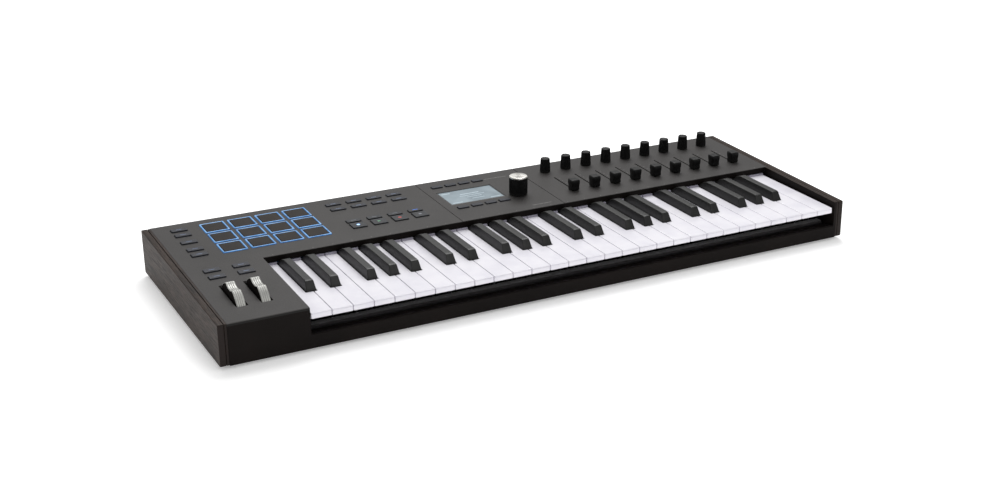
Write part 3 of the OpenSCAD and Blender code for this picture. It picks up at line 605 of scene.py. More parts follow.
def display_case():
    """Black display frame with a dull moulded face."""
    return grained("display_case", [(0.3, "#17191c"), (0.7, "#202327")], 0.45, grain_mm=0.6,
                   depth_mm=0.01, blotch_mm=12.0)


# ---- Settings ----

class KeySettings(PropertyGroup):
    """Shape of the keys where the frame doesn't give it."""

    white_edge: FloatProperty(name="White key edge", description="Radius of the white keys' top edges",
                              default=0.5 * MM, unit="LENGTH")
    parting: FloatProperty(name="Parting line", description="Drop of the line along the white keys' front",
                           default=1.5 * MM, unit="LENGTH")
    black_edge: FloatProperty(name="Black key edge", description="Radius of the black keys' top edges",
                              default=0.9 * MM, unit="LENGTH")


class ControlSettings(PropertyGroup):
    """Shape of the controls where the frame doesn't give it."""

    knob_ribs: IntProperty(name="Knob ribs", description="Ribs round each knob", default=36)
    encoder_ribs: IntProperty(name="Encoder ribs", description="Ribs round the encoder", default=60)
    wheel_rib: FloatProperty(name="Wheel rib", description="Distance between the grooves along a tread",
                             default=2.2 * MM, unit="LENGTH")
    pad_crown: FloatProperty(name="Pad crown", description="Rise of a pad's middle over its edge",
                             default=0.35 * MM, unit="LENGTH")
    cheek_ease: FloatProperty(name="Cheek easing", description="Radius of a cheek's long edges",
                              default=0.8 * MM, unit="LENGTH")
    cheek_gap: FloatProperty(name="Cheek gap", description="Width of the gap between a cheek's two boards",
                             default=0.8 * MM, unit="LENGTH")


class StageSettings(PropertyGroup):
    """Camera."""

    lens: FloatProperty(name="Lens", description="Focal length on a 36 mm wide sensor", default=54.38)
    camera_shift: FloatProperty(name="Shift", description="Sideways shift of the camera", default=-0.1)


# ---- Pieces ----

def key_lines(solid):
    """The lines of a white key, measured on its corners."""
    x, y, z = solid.T
    front = y.min()
    top = z[y < front + 5 * MM].max()
    lip_low = z[y < front + 0.5 * MM].min()
    body_front = y[z < lip_low - 1 * MM].min()
    shoulder = y[z > top + 1 * MM].min()
    body_low = z[y < front + 30 * MM].min()
    at_shoulder = x[np.abs(y - shoulder) < 0.01 * MM]
    on_top = (np.abs(z - top) < 0.01 * MM) & (y > front + 5 * MM) & (y < shoulder - 5 * MM)
    notch = y[on_top].min() if on_top.any() else None
    return {"x": (x.min(), x.max()), "back_x": (at_shoulder.min(), at_shoulder.max()), "front": front,
            "notch": notch, "shoulder": shoulder, "end": y.max(), "top": top, "shoulder_top": z.max(),
            "lip_low": lip_low, "body_low": body_low, "body_front": body_front}


def white_outline(lines, front, back, clear=0.0):
    """Plan of a white key: wide in front, and narrower beside the black keys."""
    (x0, x1), (b0, b1), notch = lines["x"], lines["back_x"], lines["notch"]
    points = [[x0 + clear, front], [x1 - clear, front]]
    if notch is not None and b1 < x1 - 0.1 * MM:
        points += [[x1 - clear, notch - clear], [b1 - clear, notch - clear]]
    points += [[b1 - clear, back], [b0 + clear, back]]
    if notch is not None and b0 > x0 + 0.1 * MM:
        points += [[b0 + clear, notch - clear], [x0 + clear, notch - clear]]
    return np.array(points)


def white_key(lines, edge, parting):
    """A white key: its top with a lip over the front, and its body below the lip."""
    top, low = lines["top"], lines["lip_low"]
    plan = rounded(white_outline(lines, lines["front"], lines["shoulder"] + 1 * MM), 1.0 * MM)
    line = top - parting
    groove = 0.28 * MM
    pairs = [[0.3 * MM, low], [0.0, low + 0.3 * MM], [0.0, line - groove],
             [1.8 * groove, line - 0.8 * groove], [1.8 * groove, line + 0.8 * groove], [0.0, line + groove]]
    shells = [loft(stack(plan, np.vstack([pairs, rim(0.0, top, edge)])))]
    body = rounded(white_outline(lines, lines["body_front"], lines["end"], 0.35 * MM), 0.6 * MM)
    shells.append(loft(block(body, lines["body_low"], low + 1 * MM, 0.3 * MM)))
    return shells


def white_shoulder(lines):
    """The raised rear end of a white key, which runs back under the panel."""
    b0, b1 = lines["back_x"]
    plan = rounded(rectangle((b0 + 0.1 * MM, lines["shoulder"]), (b1 - 0.1 * MM, lines["end"])), 0.5 * MM)
    return loft(block(plan, lines["lip_low"], lines["shoulder_top"], 0.4 * MM))


def black_key(solid, edge):
    """A black key, as a section carried from front to back. The section is a trapezium with rounded upper
    corners. Its height climbs the sloped front, runs level, then falls along a parabola at the back."""
    x, y, z = solid.T
    middle, crown, front, end = (x.min() + x.max()) / 2, z.max(), y.min(), y.max()
    foot = z[np.abs(y - front) < 0.01 * MM].max()
    crown_y = y[z > crown - 0.01 * MM].min()
    half_low, half_top = (x.max() - x.min()) / 2, np.ptp(x[z > crown - 0.01 * MM]) / 2
    tail_top = z[np.abs(y - end) < 0.01 * MM].max()
    shoulder = y[(np.abs(z - tail_top) < 0.01 * MM) & (y > crown_y + 20 * MM)].min()
    dip = 18 * MM
    stations = np.concatenate([
        [front, front + 0.25 * MM, front + 0.7 * MM], np.linspace(front + 1.6 * MM, crown_y - 1.2 * MM, 4),
        [crown_y - 0.7 * MM, crown_y - 0.25 * MM, crown_y + 0.3 * MM, crown_y + 1.0 * MM],
        np.linspace(crown_y + 3 * MM, shoulder - dip, 6),
        np.linspace(shoulder - dip, shoulder, 9)[1:], [end]])
    climb = np.clip((stations - front) / (crown_y - 0.5 * MM - front), 0, 1)
    height = foot + (crown - foot) * climb
    height = height - 0.35 * MM * np.exp(-((stations - crown_y) / (0.7 * MM)) ** 2)
    height[:2] = [foot - 1.2 * MM, foot - 0.2 * MM]
    fall = np.clip((stations - (shoulder - dip)) / dip, 0, 1) ** 2
    height = height - (height - tail_top) * fall
    base = z[(y < end - 20 * MM) & (z > foot - 20 * MM)].min() + 4 * MM
    angle = np.linspace(0, pi / 2, 5)
    rings = []
    for station, top in zip(stations, height):
        taper = np.clip((top - foot) / (crown - foot), 0, 1)
        wide = half_low + (half_top - half_low) * taper
        corner = min(edge, 0.4 * max(top - base, 0.1 * MM))
        arc_x = wide - corner + corner * np.cos(angle)
        arc_z = top - corner + corner * np.sin(angle)
        right = np.column_stack([np.r_[half_low, half_low, arc_x], np.r_[base, foot + 0.3 * MM, arc_z]])
        if top < foot + corner + 0.4 * MM:
            right[1] = [half_low, (base + arc_z[0]) / 2]
        left = right[::-1] * [-1, 1]
        section = np.vstack([right, left])
        rings.append(np.column_stack(
            [middle + section[:, 0], np.full(len(section), station), section[:, 1]]))
    return loft(np.array(rings)[:, ::-1])


class MakeWhiteKeys(Operator):
    """White keys with rounded edges, a parting line along the front lip, and a raised rear end in a darker
    grey that paints the shade under the panel
    """

    bl_idname = "controller.white_keys"
    bl_label = "White keys"

    def execute(self, context):
        settings = context.scene.controller_keys
        # plain is a darker grey copy of the key white: painted shade on the rear ends under the panel
        finish, plain = polished_key_white(), shaded_key_grey()
        for step, note in WHITE_NOTES.items():
            node = f"keys_step_{step}"
            lines = [key_lines(solid) for solid in solids_of(node)]
            shells = [shell for key in lines
                      for shell in white_key(key, settings.white_edge, settings.parting)]
            make_piece(f"white_keys_{note}", shells, finish, f"keys_{note}", [node])
            make_piece(f"white_shoulders_{note}", [white_shoulder(key) for key in lines], plain,
                       f"keys_{note}")
        return {"FINISHED"}


class MakeBlackKeys(Operator):
    """Black keys with a sloped front, tapered sides and a top that dips towards the back"""

    bl_idname = "controller.black_keys"
    bl_label = "Black keys"

    def execute(self, context):
        settings = context.scene.controller_keys
        finish = brushed_key_black()
        for step, note in BLACK_NOTES.items():
            node = f"keys_step_{step}"
            shells = [black_key(solid, settings.black_edge) for solid in solids_of(node)]
            make_piece(f"black_keys_{note}", shells, finish, f"keys_{note}", [node])
        return {"FINISHED"}


class MakeCheeks(Operator):
    """Wooden cheeks, a wide and a narrow board with a gap between them, and an inlay beside the keys"""

    bl_idname = "controller.cheeks"
    bl_label = "Wooden cheeks"

    def execute(self, context):
        settings = context.scene.controller_controls
        finish = stained_walnut()
        for side in ("left", "right"):
            node = f"{side}_side_panel"
            x, y, z = corners_of(node).T
            back_top, front_top = z[y > y.max() - MM].max(), z[y < y.min() + MM].max()
            plan = [[y.min(), z.min()], [y.max(), z.min()], [y.max(), back_top], [y.min(), front_top]]
            plan = rounded(plan, [2.5 * MM, 2.5 * MM, 1.6 * MM, 1.6 * MM], 6)
            low, high = x.min(), x.max()
            ease, gap = settings.cheek_ease, settings.cheek_gap / 2
            seam = high - 3.2 * MM if side == "left" else low + 3.2 * MM
            foot = rim(0.0, -low, ease)[::-1] * [1, -1]
            line = [[0.0, seam - gap - 0.15 * MM], [0.15 * MM, seam - gap], [1.5 * MM, seam - gap],
                    [1.5 * MM, seam + gap], [0.15 * MM, seam + gap], [0.0, seam + gap + 0.15 * MM]]
            rings = stack(plan, np.vstack([foot, line, rim(0.0, high, ease)]))
            make_piece(f"{side}_cheek", [loft(along_x(rings))], finish, "case", [node])
        x, y, z = corners_of("bottom_case").T
        wall = x[(z > z.max() - 5 * MM) & (y < 0)]
        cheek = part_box("right_side_panel")[0]
        near, far = wall[wall > 0.5 * wall.max()].min() + 0.15 * MM, cheek.x - 0.9 * MM
        slope = (back_top - front_top) / np.ptp(corners_of("right_side_panel")[:, 1])
        front, back = y.min() + 0.3 * MM, from_panel([[0, panel_edge(), 0]])[0, 1] - 0.2 * MM
        plan = [[front, front_top - 0.5 * MM], [back, front_top - 0.5 * MM + slope * (back - front)],
                [back, front_top + slope * (back - front)], [front, front_top]]
        plan = rounded(plan, [0.05 * MM, 0.05 * MM, 0.15 * MM, 0.3 * MM])
        rings = stack(plan, np.vstack([[[0.0, near]], rim(0.0, far, 0.1 * MM)]))
        make_piece("wall_inlay", [loft(along_x(rings))], finish, "case")
        return {"FINISHED"}


class MakePads(Operator):
    """Rubber pads with a slight crown, each in a lit frame"""

    bl_idname = "controller.pads"
    bl_label = "Pads"

    def execute(self, context):
        settings = context.scene.controller_controls
        shells = []
        for low, high in caps_of("pads"):
            plan = rounded(rectangle(low, high), 1.6 * MM)
            side = block(plan, -6 * MM, high[2] - settings.pad_crown, 0.7 * MM)
            middle = (low[:2] + high[:2]) / 2
            share = np.array([0.75, 0.5, 0.25])[:, None]
            flat = middle + share[..., None] * (side[-1, :, :2] - middle)
            rise = np.broadcast_to(high[2] - settings.pad_crown * share ** 2, flat.shape[:2])[..., None]
            shells.append(loft(on_panel(np.concatenate([side, np.concatenate([flat, rise], axis=2)]))))
        make_piece("pad_rubbers", shells, pad_silicone(), "pads", ["pads"])
        shells = []
        for (low, high), solid in zip(caps_of("pad_light_frames"), solids_of("pad_light_frames")):
            local = to_panel(solid)
            inside = np.unique(np.round(local[:, 0] - low[0], 6))[1]
            plan = rounded(rectangle(low, high), 1.2 * MM)
            top, foot, soft = high[2], local[:, 2].min(), 0.4 * MM
            pairs = np.array([[0, foot], [0, top - soft], [0.3 * soft, top - 0.3 * soft], [soft, top],
                              [inside - soft, top], [inside - 0.3 * soft, top - 0.3 * soft],
                              [inside, top - soft], [inside, foot]])
            shells.append(loft(on_panel(stack(plan, pairs)), closed=True))
        make_piece("pad_light_guides", shells, lit_light_guide(), "case", ["pad_light_frames"])
        return {"FINISHED"}


def button_caps(node):
    """Shells of the caps of a group of buttons, with softened edges, and where the caps are."""
    places = caps_of(node)
    shells = []
    for low, high in places:
        plan = rounded(rectangle(low, high), 0.9 * MM)
        shells.append(loft(on_panel(block(plan, -4 * MM, high[2], 0.45 * MM))))
    return shells, places


def mark(shape, place, scale, turn=0.0):
    """A flat mark on a button: its outline scaled and turned about the button's middle, 0.04 mm proud."""
    low, high = place
    c, s = cos(turn), sin(turn)
    outline = np.asarray(shape, float) * scale @ np.array([[c, s], [-s, c]])
    outline = outline + (low[:2] + high[:2]) / 2
    return loft(on_panel(slab(outline, high[2] - 0.2 * MM, high[2] + 0.04 * MM)))


BAR = [[-1.0, -0.16], [1.0, -0.16], [1.0, 0.16], [-1.0, 0.16]]
SQUARE = [[-0.8, -0.8], [0.8, -0.8], [0.8, 0.8], [-0.8, 0.8]]
TRIANGLE = [[-0.7, -0.9], [0.95, 0.0], [-0.7, 0.9]]
ROUND = [[cos(a), sin(a)] for a in np.linspace(0, 2 * pi, 20, endpoint=False)]


class MakeButtons(Operator):
    """Buttons with softened edges and plain marks"""

    bl_idname = "controller.buttons"
    bl_label = "Buttons"

    def execute(self, context):
        satin, grey = satin_button(), grey_transport()
        dim = printed_ink("dim_blue_print", "#5d6a86", 0.12)
        for node in ("column_buttons", "wheel_buttons", "grid_buttons", "display_buttons"):
            shells, places = button_caps(node)
            make_piece(f"{node}_caps", shells, satin, node, [node])
            if node != "display_buttons":
                marks = [mark(BAR, place, 3.2 * MM) for place in places]
                make_piece(f"{node}_marks", marks, dim, node)
        shells, places = button_caps("transport_buttons")
        make_piece("transport_buttons_caps", shells, grey, "transport_buttons", ["transport_buttons"])
        large = [p for p in places if p[1][1] - p[0][1] > 12 * MM]
        small = [p for p in places if p[1][1] - p[0][1] <= 12 * MM]
        lit = [("blue_lamp", "#9cc4ff", 1.0, [mark(ROUND, large[0], 2.0 * MM)]),
               ("green_lamp", "#4f7d62", 0.25, [mark(TRIANGLE, large[1], 2.6 * MM)]),
               ("red_lamp", "#8c2f2c", 0.35, [mark(ROUND, large[2], 2.3 * MM)]),
               ("grey_mark", "#6a6d74", 0.05, [mark(SQUARE, large[3], 2.2 * MM)]
                + [mark(BAR, place, 3.0 * MM) for place in small[:3]]),
               ("deep_blue_lamp", "#2f5fb8", 0.8, [mark(BAR, small[3], 3.4 * MM)])]
        for name, colour, glow, marks in lit:
            make_piece(name, marks, printed_ink(name, colour, glow), "transport_buttons")
        return {"FINISHED"}


class MakeDisplay(Operator):
    """Lit screen in its dark border, with the plain bars of a list on it"""

    bl_idname = "controller.display"
    bl_label = "Display"

    def execute(self, context):
        local = to_panel(corners_of("display_window"))
        low, high = local.min(axis=0), local.max(axis=0)
        border = 1.6 * MM
        plan = rounded(rectangle(low, high), 1.0 * MM)
        pairs = [[0, low[2]], [0, high[2] - 0.1 * MM], [0.15 * MM, high[2]], [border, high[2]],
                 [border, high[2] - 0.35 * MM], [border, low[2]]]
        make_piece("display_border", [loft(on_panel(stack(plan, pairs)), closed=True)], display_case(),
                   "case")
        screen = rounded(rectangle(low[:2] + border, high[:2] - border), 0.4 * MM)
        glass = stack(screen, [[0, low[2]], [0, high[2] - 0.2 * MM]])
        make_piece("display_screen", [loft(on_panel(glass))], lit_screen(), "case", ["display_window"])
        top = high[2] - 0.2 * MM
        width, depth = high[0] - low[0], high[1] - low[1]
        rows = [(0.06, 0.82, 0.15, 0.05), (0.34, 0.62, 0.34, 0.045), (0.30, 0.50, 0.45, 0.03),
                (0.40, 0.38, 0.27, 0.03), (0.46, 0.24, 0.22, 0.03), (0.06, 0.10, 0.18, 0.04),
                (0.76, 0.10, 0.18, 0.04)]
        bars = []
        for left, up, across, thick in rows:
            corner = low[:2] + [left * width, up * depth]
            bar = rectangle(corner, corner + [across * width, thick * depth])
            bars.append(loft(on_panel(slab(bar, top - 0.05 * MM, top + 0.03 * MM))))
        make_piece("display_list", bars, printed_ink("screen_bars", "#97a5ad", 0.33), "case")
        return {"FINISHED"}


class MakeKnobs(Operator):
    """Ribbed, tapered knobs with a rounded crown and a pointer"""

    bl_idname = "controller.knobs"
    bl_label = "Knobs"

    def execute(self, context):
        ribs = context.scene.controller_controls.knob_ribs
        finish = soft_touch_black()
        pointer_ink = printed_ink("pointer_grey", "#55565a")
        for number in CHANNELS:
            node = f"knob_{number}"
            axis = to_panel(joint(f"{node}_turn")["pos_m"])
            solid = to_panel(corners_of(node)) - [axis[0], axis[1], 0]
            above = solid[solid[:, 2] > 0]
            height, foot = above[:, 2].max(), above[:, 2].min()
            wide = np.hypot(above[:, 0], above[:, 1]).max()
            crown = wide - 0.85 * MM
            soft = 1.2 * MM
            angle = np.linspace(0, pi / 2, 6)
            side = np.linspace(0, 1, 9)
            radii = np.concatenate([[wide - 0.35 * MM], wide + (crown - wide) * side,
                                    crown - soft + soft * np.cos(angle[1:]),
                                    [crown - soft - 0.6 * MM, crown - soft - 1.1 * MM, 0.8 * MM]])
            heights = np.concatenate([[foot], foot + 0.4 * MM + (height - soft - foot - 0.4 * MM) * side,
                                      height - soft + soft * np.sin(angle[1:]),
                                      [height, height - 0.25 * MM, height - 0.3 * MM]])
            last_rib = 1 + len(side)

            def wave(turn, ring):
                strength = np.where((ring > 1) & (ring < last_rib), 0.05, 0.0)
                return strength * (0.5 - 0.5 * np.cos(ribs * turn)) ** 0.7

            rings = turned(radii, heights, ribs * 6, wave)
            make_piece(f"{node}_cap", [loft(on_panel(rings, axis))], finish, node, [node],
                       32.0)
            line = rectangle((-0.3 * MM, 1.6 * MM), (0.3 * MM, crown - 0.2 * MM))
            pointer = slab(line, height - 1.2 * MM, height + 0.01 * MM)
            make_piece(f"{node}_pointer", [loft(on_panel(pointer, axis))], pointer_ink, node)
        return {"FINISHED"}


class MakeFaders(Operator):
    """Fader caps: a block that narrows slightly under its head, with a finger hollow in its top"""

    bl_idname = "controller.faders"
    bl_label = "Faders"

    def execute(self, context):
        finish = soft_touch_black()
        for number in CHANNELS:
            node = f"fader_{number}"
            local = to_panel(corners_of(node))
            cap = local[local[:, 2] > 0.5 * MM]
            low, high = cap.min(axis=0), cap.max(axis=0)
            middle, half = (low + high) / 2, (high - low) / 2
            tall = high[2] - low[2]
            share = np.array([0.0, 0.06, 0.14, 0.3, 0.42, 0.55, 0.72, 0.86, 0.94, 0.98, 1.0])
            long = np.array([0.88, 0.93, 0.93, 0.90, 0.91, 0.97, 1.0, 1.0, 0.97, 0.91, 0.82]) * half[1]
            wide = np.array([0.90, 0.95, 0.95, 0.93, 0.94, 0.98, 1.0, 0.99, 0.96, 0.90, 0.82]) * half[0]
            rings = []
            for s, a, b in zip(share, wide, long):
                plan = rounded(rectangle((-a, -b), (a, b)), 1.1 * MM, 3)
                rings.append(np.column_stack([plan, np.full(len(plan), low[2] + s * tall)]))
            top = rings[-1]
            for shrink in (0.7, 0.45, 0.2):
                inner = top * [shrink, shrink, 1]
                inner[:, 2] -= 0.5 * MM * (1 - shrink) ** 0.6
                rings.append(inner)
            make_piece(f"{node}_cap", [loft(on_panel(np.array(rings), middle))], finish, node, [node])
        return {"FINISHED"}


class MakeEncoder(Operator):
    """Encoder knob: ribbed black grip under a bright turned cap"""

    bl_idname = "controller.encoder"
    bl_label = "Encoder"

    def execute(self, context):
        ribs = context.scene.controller_controls.encoder_ribs
        axis = to_panel(joint("encoder_turn")["pos_m"])
        solid = to_panel(corners_of("encoder_knob")) - [axis[0], axis[1], 0]
        height, foot = solid[:, 2].max(), solid[:, 2].min()
        wide = np.hypot(solid[:, 0], solid[:, 1]).max()
        cap = 2.2 * MM
        grip_top = height - cap
        side = np.linspace(0, 1, 13)
        radii = np.concatenate([[wide - 0.5 * MM], np.full(13, wide), [wide - 0.3 * MM, wide - 1.5 * MM]])
        heights = np.concatenate([[foot], foot + 0.5 * MM + (grip_top - foot - 0.9 * MM) * side,
                                  [grip_top, grip_top + 0.3 * MM]])

        def wave(turn, ring):
            strength = np.where((ring > 1) & (ring < 13), 0.035, 0.0)
            return strength * (0.5 - 0.5 * np.cos(ribs * turn)) ** 0.8

        grip = loft(on_panel(turned(radii, heights, ribs * 6, wave), axis))
        make_piece("encoder_grip", [grip], soft_touch_black(), "encoder_knob", ["encoder_knob"],
                   32.0)
        bevel = 0.9 * MM
        radii = [wide - 0.5 * MM, wide - 0.25 * MM, wide - 0.2 * MM, wide - 0.3 * MM, wide - bevel,
                 wide - bevel - 0.25 * MM, 0.5 * wide, 0.1 * wide]
        heights = [grip_top + 0.1 * MM, grip_top + 0.25 * MM, height - bevel - 0.1 * MM,
                   height - bevel + 0.05 * MM, height - 0.1 * MM, height - 0.03 * MM, height - 0.12 * MM,
                   height - 0.16 * MM]
        make_piece("encoder_cap", [loft(on_panel(turned(radii, heights, 144), axis))], turned_aluminium(),
                   "encoder_knob", crease=24.0)
        return {"FINISHED"}


class MakeWheels(Operator):
    """Pitch and modulation wheels: a dark rim under a grooved silver tread with a hollow for the thumb

    Rim and tread are sections carried round the axle. The tread's outer edge follows its grooves, and
    along the way the radius falls to the nearer side of a circle of the thumb's size, or to the core
    where the wheel has no tread.
    """

    bl_idname = "controller.wheels"
    bl_label = "Wheels"

    def execute(self, context):
        pitch = context.scene.controller_controls.wheel_rib
        silver, dark = silver_wheel(), moulded_abs_black()
        for body in ("pitch_wheel", "modulation_wheel"):
            centre = np.array(joint(f"{body}_roll")["pos_m"], float)
            x, y, z = (corners_of(body) - centre).T
            distance = np.hypot(y, z)
            outer = distance.max()
            tread = distance > 0.8 * outer
            half = np.abs(x[tread]).max()
            sector = np.abs(np.arctan2(y[tread], z[tread])).max()
            core = outer - 10 * MM
            thumb, depth, lean = 20 * MM, 4.6 * MM, radians(-5)
            angle = np.concatenate([np.linspace(-sector, sector, 181),
                                    np.linspace(sector, 2 * pi - sector, 60)[1:-1]])
            reach = outer + thumb - depth
            off = angle - lean
            inside = np.clip(thumb ** 2 - (reach * np.sin(off)) ** 2, 0, None)
            hollow = np.where((inside > 0) & (np.cos(off) > 0), reach * np.cos(off) - np.sqrt(inside), outer)
            radius = np.minimum(outer, hollow)
            kernel = np.array([1, 2, 1]) / 4
            radius[:181] = np.convolve(np.pad(radius[:181], 1, mode="edge"), kernel, mode="valid")
            radius[181:] = core
            across = np.linspace(-half + 0.5 * MM, half - 0.5 * MM, 61)
            rib = 0.45 * MM * (0.5 + 0.5 * np.cos(2 * pi * across / pitch)) ** 4
            drop = np.concatenate([[0.55 * MM, 0.12 * MM], rib, [0.12 * MM, 0.55 * MM]])
            place = np.concatenate([[-half, -half + 0.2 * MM], across, [half - 0.2 * MM, half]])
            inner = core - 3 * MM
            rings, treads = [], []
            for turn, far in zip(angle, radius):
                under = far - 1.1 * MM
                treads.append(swung(np.vstack([np.column_stack([0.975 * place, far - drop]),
                                               [[0.94 * half, under], [-0.94 * half, under]]]), turn))
                rings.append(swung([[half - 0.3 * MM, far - 0.7 * MM], [half, far - 1.0 * MM],
                                    [half, inner], [-half, inner], [-half, far - 1.0 * MM],
                                    [0.3 * MM - half, far - 0.7 * MM]], turn))
            make_piece(f"{body}_rim", [loft(np.array(rings) + centre, closed=True)], dark, body, [body])
            make_piece(f"{body}_tread", [loft(np.array(treads[:181]) + centre)], silver, body)
            hub_radii = [2.6 * MM, core - 2.5 * MM, core - 2 * MM, core - 2 * MM, core - 2.5 * MM, 2.6 * MM]
            hub_x = [-half + 0.8 * MM, -half + 0.8 * MM, -half + 1.2 * MM, half - 1.2 * MM, half - 0.8 * MM,
                     half - 0.8 * MM]
            reach_x = np.abs(x).max()
            axle = turned([2.1 * MM, 2.5 * MM, 2.5 * MM, 2.1 * MM],
                          [-reach_x, -reach_x + 0.4 * MM, reach_x - 0.4 * MM, reach_x], 32)
            shells = [loft(turned(hub_radii, hub_x, 96)[..., [2, 0, 1]] + centre),
                      loft(axle[..., [2, 0, 1]] + centre)]
            make_piece(f"{body}_hub", shells, dark, body)
        return {"FINISHED"}


class MakePrint(Operator):
    """Printed marks on the panel: lamp dots along the keys, fine lines, and ticks beside the faders"""

    bl_idname = "controller.print"
    bl_label = "Panel print"

    def execute(self, context):
        ink = printed_ink("panel_print_grey", "#8d8c8a")
        keys = [(solid[:, 0].min() + solid[:, 0].max()) / 2 - PANEL_ORIGIN[0]
                for step in WHITE_NOTES for solid in solids_of(f"keys_step_{step}")]
        edge = panel_edge()
        shells = []

        def plate(low, high):
            shells.append(loft(on_panel(slab(rectangle(low, high), -0.1 * MM, 0.03 * MM))))

        front = edge + 3.2 * MM
        for x in sorted(keys):
            plate((x - 0.35 * MM, front), (x + 0.35 * MM, front + 0.7 * MM))
        window = to_panel(corners_of("display_window"))
        encoder = to_panel(joint("encoder_turn")["pos_m"])
        soft = caps_of("display_buttons")
        rear = max(high[1] for low, high in soft)
        plate((window[:, 0].max() + 2 * MM, rear - 3.2 * MM), (encoder[0] + 16 * MM, rear - 2.7 * MM))
        plate((encoder[0] - 2 * MM, front + 8 * MM), (encoder[0] + 24 * MM, front + 8.5 * MM))
        for number in CHANNELS:
            cap = to_panel(corners_of(f"fader_{number}"))
            cap = cap[cap[:, 2] > 0.5 * MM]
            middle = (cap.min(axis=0) + cap.max(axis=0)) / 2
            for step in range(6):
                y = middle[1] + step * 9 * MM
                plate((middle[0] + 3.4 * MM, y - 0.15 * MM), (middle[0] + 5.2 * MM, y + 0.15 * MM))
        make_piece("panel_print", shells, ink, "case")
        return {"FINISHED"}


class MakeFeet(Operator):
    """Rubber feet, turned, with a rounded foot and a hollow under it"""

    bl_idname = "controller.feet"
    bl_label = "Feet"

    def execute(self, context):
        shells = []
        for solid in solids_of("feet"):
            low, high = solid.min(axis=0), solid.max(axis=0)
            middle, wide, tall = (low + high) / 2, (high[0] - low[0]) / 2, high[2] - low[2]
            radii = [0.2 * wide, 0.55 * wide, 0.62 * wide, wide - 1.4 * MM, wide - 0.6 * MM, wide - 0.1 * MM,
                     wide, wide, wide - 0.4 * MM]
            heights = [0.8 * MM, 0.7 * MM, 0.0, 0.0, 0.25 * MM, 0.9 * MM, 1.4 * MM, tall - 0.3 * MM, tall]
            shells.append(loft(turned(radii, heights, 64) + [middle[0], middle[1], low[2]]))
        make_piece("rubber_feet", shells, moulded_rubber(), "case", ["feet"], 30.0)
        return {"FINISHED"}


class MakeFascia(Operator):
    """Black strip under the panel's edge over the keys, partly the fascia's own black and partly painted
    shade under that edge, and the felt strip that the keys come to rest on
    """

    bl_idname = "controller.fascia"
    bl_label = "Fascia and felt"

    def execute(self, context):
        edge = panel_edge()
        local = to_panel(corners_of("top_panel"))
        near = (np.abs(local[:, 1] - edge) < 0.4 * MM) & (local[:, 2] < -3 * MM)
        x0, x1 = local[near, 0].min() + 0.3 * MM, local[near, 0].max() - 0.3 * MM
        low, high = local[near, 2].min() + 0.05 * MM, -0.75 * MM
        plan = rounded([[edge - 0.35 * MM, low], [edge + 0.6 * MM, low], [edge + 0.6 * MM, high],
                        [edge - 0.35 * MM, high]], [0.25 * MM, 0.05 * MM, 0.05 * MM, 0.25 * MM])
        rings = stack(plan, [[0.2 * MM, x0], [0.0, x0 + 0.2 * MM], [0.0, x1 - 0.2 * MM], [0.2 * MM, x1]])
        # The black strip covers the grey fascia: partly the fascia's own black plastic, partly painted shade
        # under the panel's edge
        make_piece("fascia_strip", [loft(from_panel(along_x(rings)))], moulded_abs_black(), "case")
        felt = corners_of("key_felts")
        low, high = felt.min(axis=0), felt.max(axis=0)
        angle = np.linspace(0, pi, 15)
        half, middle = (high[1] - low[1]) / 2, (high[1] + low[1]) / 2
        crown = np.column_stack([middle + half * np.cos(angle),
                                 high[2] - 0.9 * MM + 0.9 * MM * np.sin(angle) ** 0.35])
        plan = np.vstack([[[low[1], low[2]], [high[1], low[2]]], crown])
        rings = np.stack([np.column_stack([plan, np.full(len(plan), x)])
                          for x in np.linspace(low[0], high[0], 60)])
        make_piece("felt_strip", [loft(along_x(rings))], pressed_felt(), "case", ["key_felts"])
        return {"FINISHED"}


class FinishFrame(Operator):
    """Finishes for the parts whose shape comes from the frame as it is"""

    bl_idname = "controller.frame_finishes"
    bl_label = "Frame finishes"

    def execute(self, context):
        black = moulded_abs_black()
        steel = metal("drawn_steel", "#b4b7ba", "#c6c8ca", 0.28, (0.05, 1.0, 1.0))
        board = solder_mask_green()
        nylon = component_case()
        finishes = {
            "bottom_case": black, "top_panel": powder_coated_steel(), "rear_sockets": black,
            "wheel_bracket": black, "keybed_frame": dipped_steel_black(),
            "key_pivot_rod": steel, "key_springs": steel, "encoder_shaft": steel,
            "fader_tracks": metal("tin_plated_steel", "#75797c", "#83878a", 0.4),
            "case_screws": metal("screw_steel", "#8e8e8e", "#a4a4a4", 0.3), "key_contact_board": board,
            "circuit_boards": board, "display_module": display_case(),
            "knob_potentiometers": nylon, "encoder_base": nylon}
        for node, finish in finishes.items():
            piece = frame["nodes"][node]
            piece.data.materials.clear()
            piece.data.materials.append(finish)
        return {"FINISHED"}


# ---- Stage ----

CAMERA_ROWS = np.array([[0.863887, -0.503490, 0.014031], [0.173020, 0.322798, 0.930519],
                        [-0.473036, -0.801436, 0.365975]])
CAMERA_PLACE = (-0.76783, -1.52375, 0.67955)


def add_area(name, place, target, size, power):
    """A white, square, soft light at a place, turned to face its target."""
    light = bpy.data.lights.new(name, "AREA")
    light.size = size
    light.energy = power
    lamp = bpy.data.objects.new(name, light)
    bpy.context.scene.collection.objects.link(lamp)
    lamp.rotation_euler = (Vector(place) - Vector(target)).to_track_quat("Z", "Y").to_euler()
    lamp.location = place
    return lamp


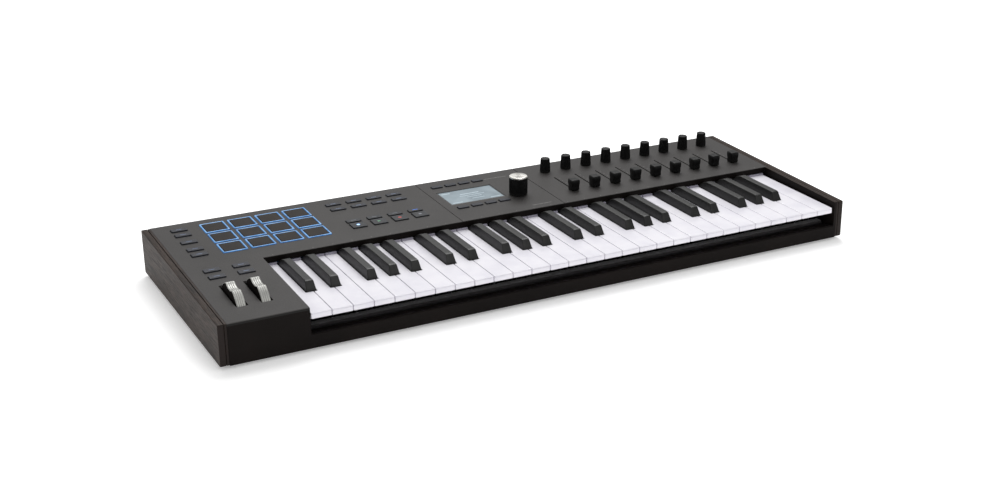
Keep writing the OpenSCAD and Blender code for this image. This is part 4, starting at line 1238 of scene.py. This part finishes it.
class MakeStage(Operator):
    """White studio floor, soft lights and the camera"""

    bl_idname = "controller.stage"
    bl_label = "Stage"

    def execute(self, context):
        settings = context.scene.controller_stage
        camera = bpy.data.cameras.new("camera")
        camera.sensor_width = 36.0
        camera.lens = settings.lens
        camera.shift_x = settings.camera_shift
        camera.clip_start, camera.clip_end = 0.05, 50.0
        holder = bpy.data.objects.new("camera", camera)
        pose = Matrix(CAMERA_ROWS.T.tolist()).to_4x4()
        pose.translation = CAMERA_PLACE
        holder.matrix_world = pose
        context.scene.collection.objects.link(holder)
        context.scene.camera = holder

        mesh = bpy.data.meshes.new("floor")
        mesh.from_pydata([(-12, -12, 0), (12, -12, 0), (12, 12, 0), (-12, 12, 0)], [], [(0, 1, 2, 3)])
        floor = bpy.data.objects.new("floor", mesh)
        context.scene.collection.objects.link(floor)
        paper = new_material("white_paper", "#ffffff", 0.9, Specular_IOR_Level=0.1,
                             Emission_Color=linear("#ffffff"), Emission_Strength=0.3)
        surface(paper, height=noise(paper, object_space(paper), 3.0), depth_mm=0.05)
        mesh.materials.append(paper)

        world = bpy.data.worlds.new("studio")
        world.use_nodes = True
        world.node_tree.nodes["Background"].inputs["Color"].default_value = linear("#ffffff")
        world.node_tree.nodes["Background"].inputs["Strength"].default_value = 0.52
        context.scene.world = world
        add_area("key_light", (0.5, 1.2, 2.1), (0.0, 0.0, 0.0), 1.8, 50.0)
        add_area("front_light", (0.4, -2.2, 1.9), (0.0, 0.0, 0.0), 1.4, 9.0)
        context.scene.view_settings.view_transform = "Standard"
        return {"FINISHED"}


class ControllerPanel(Panel):
    """Lists the steps that make the controller"""

    bl_idname = "VIEW3D_PT_keyboard_controller"
    bl_label = "Keyboard controller"
    bl_space_type = "VIEW_3D"
    bl_region_type = "UI"
    bl_category = "Keyboard controller"

    def draw(self, context):
        for step in STEPS:
            self.layout.operator(step.bl_idname)


SETTINGS = {"controller_keys": KeySettings, "controller_controls": ControlSettings,
            "controller_stage": StageSettings}
STEPS = (FinishFrame, MakeWhiteKeys, MakeBlackKeys, MakeCheeks, MakePads, MakeButtons, MakeDisplay,
         MakeKnobs, MakeFaders, MakeEncoder, MakeWheels, MakeFascia, MakePrint, MakeFeet, MakeStage)


def register():
    for item in (*SETTINGS.values(), *STEPS, ControllerPanel):
        bpy.utils.register_class(item)
    for name, group in SETTINGS.items():
        setattr(bpy.types.Scene, name, bpy.props.PointerProperty(type=group))


def unregister():
    for name in SETTINGS:
        delattr(bpy.types.Scene, name)
    for item in (ControllerPanel, *reversed(STEPS), *reversed(SETTINGS.values())):
        bpy.utils.unregister_class(item)


def main():
    register()
    for step in STEPS:
        group, name = step.bl_idname.split(".")
        getattr(getattr(bpy.ops, group), name)()


if __name__ == "__main__":
    main()
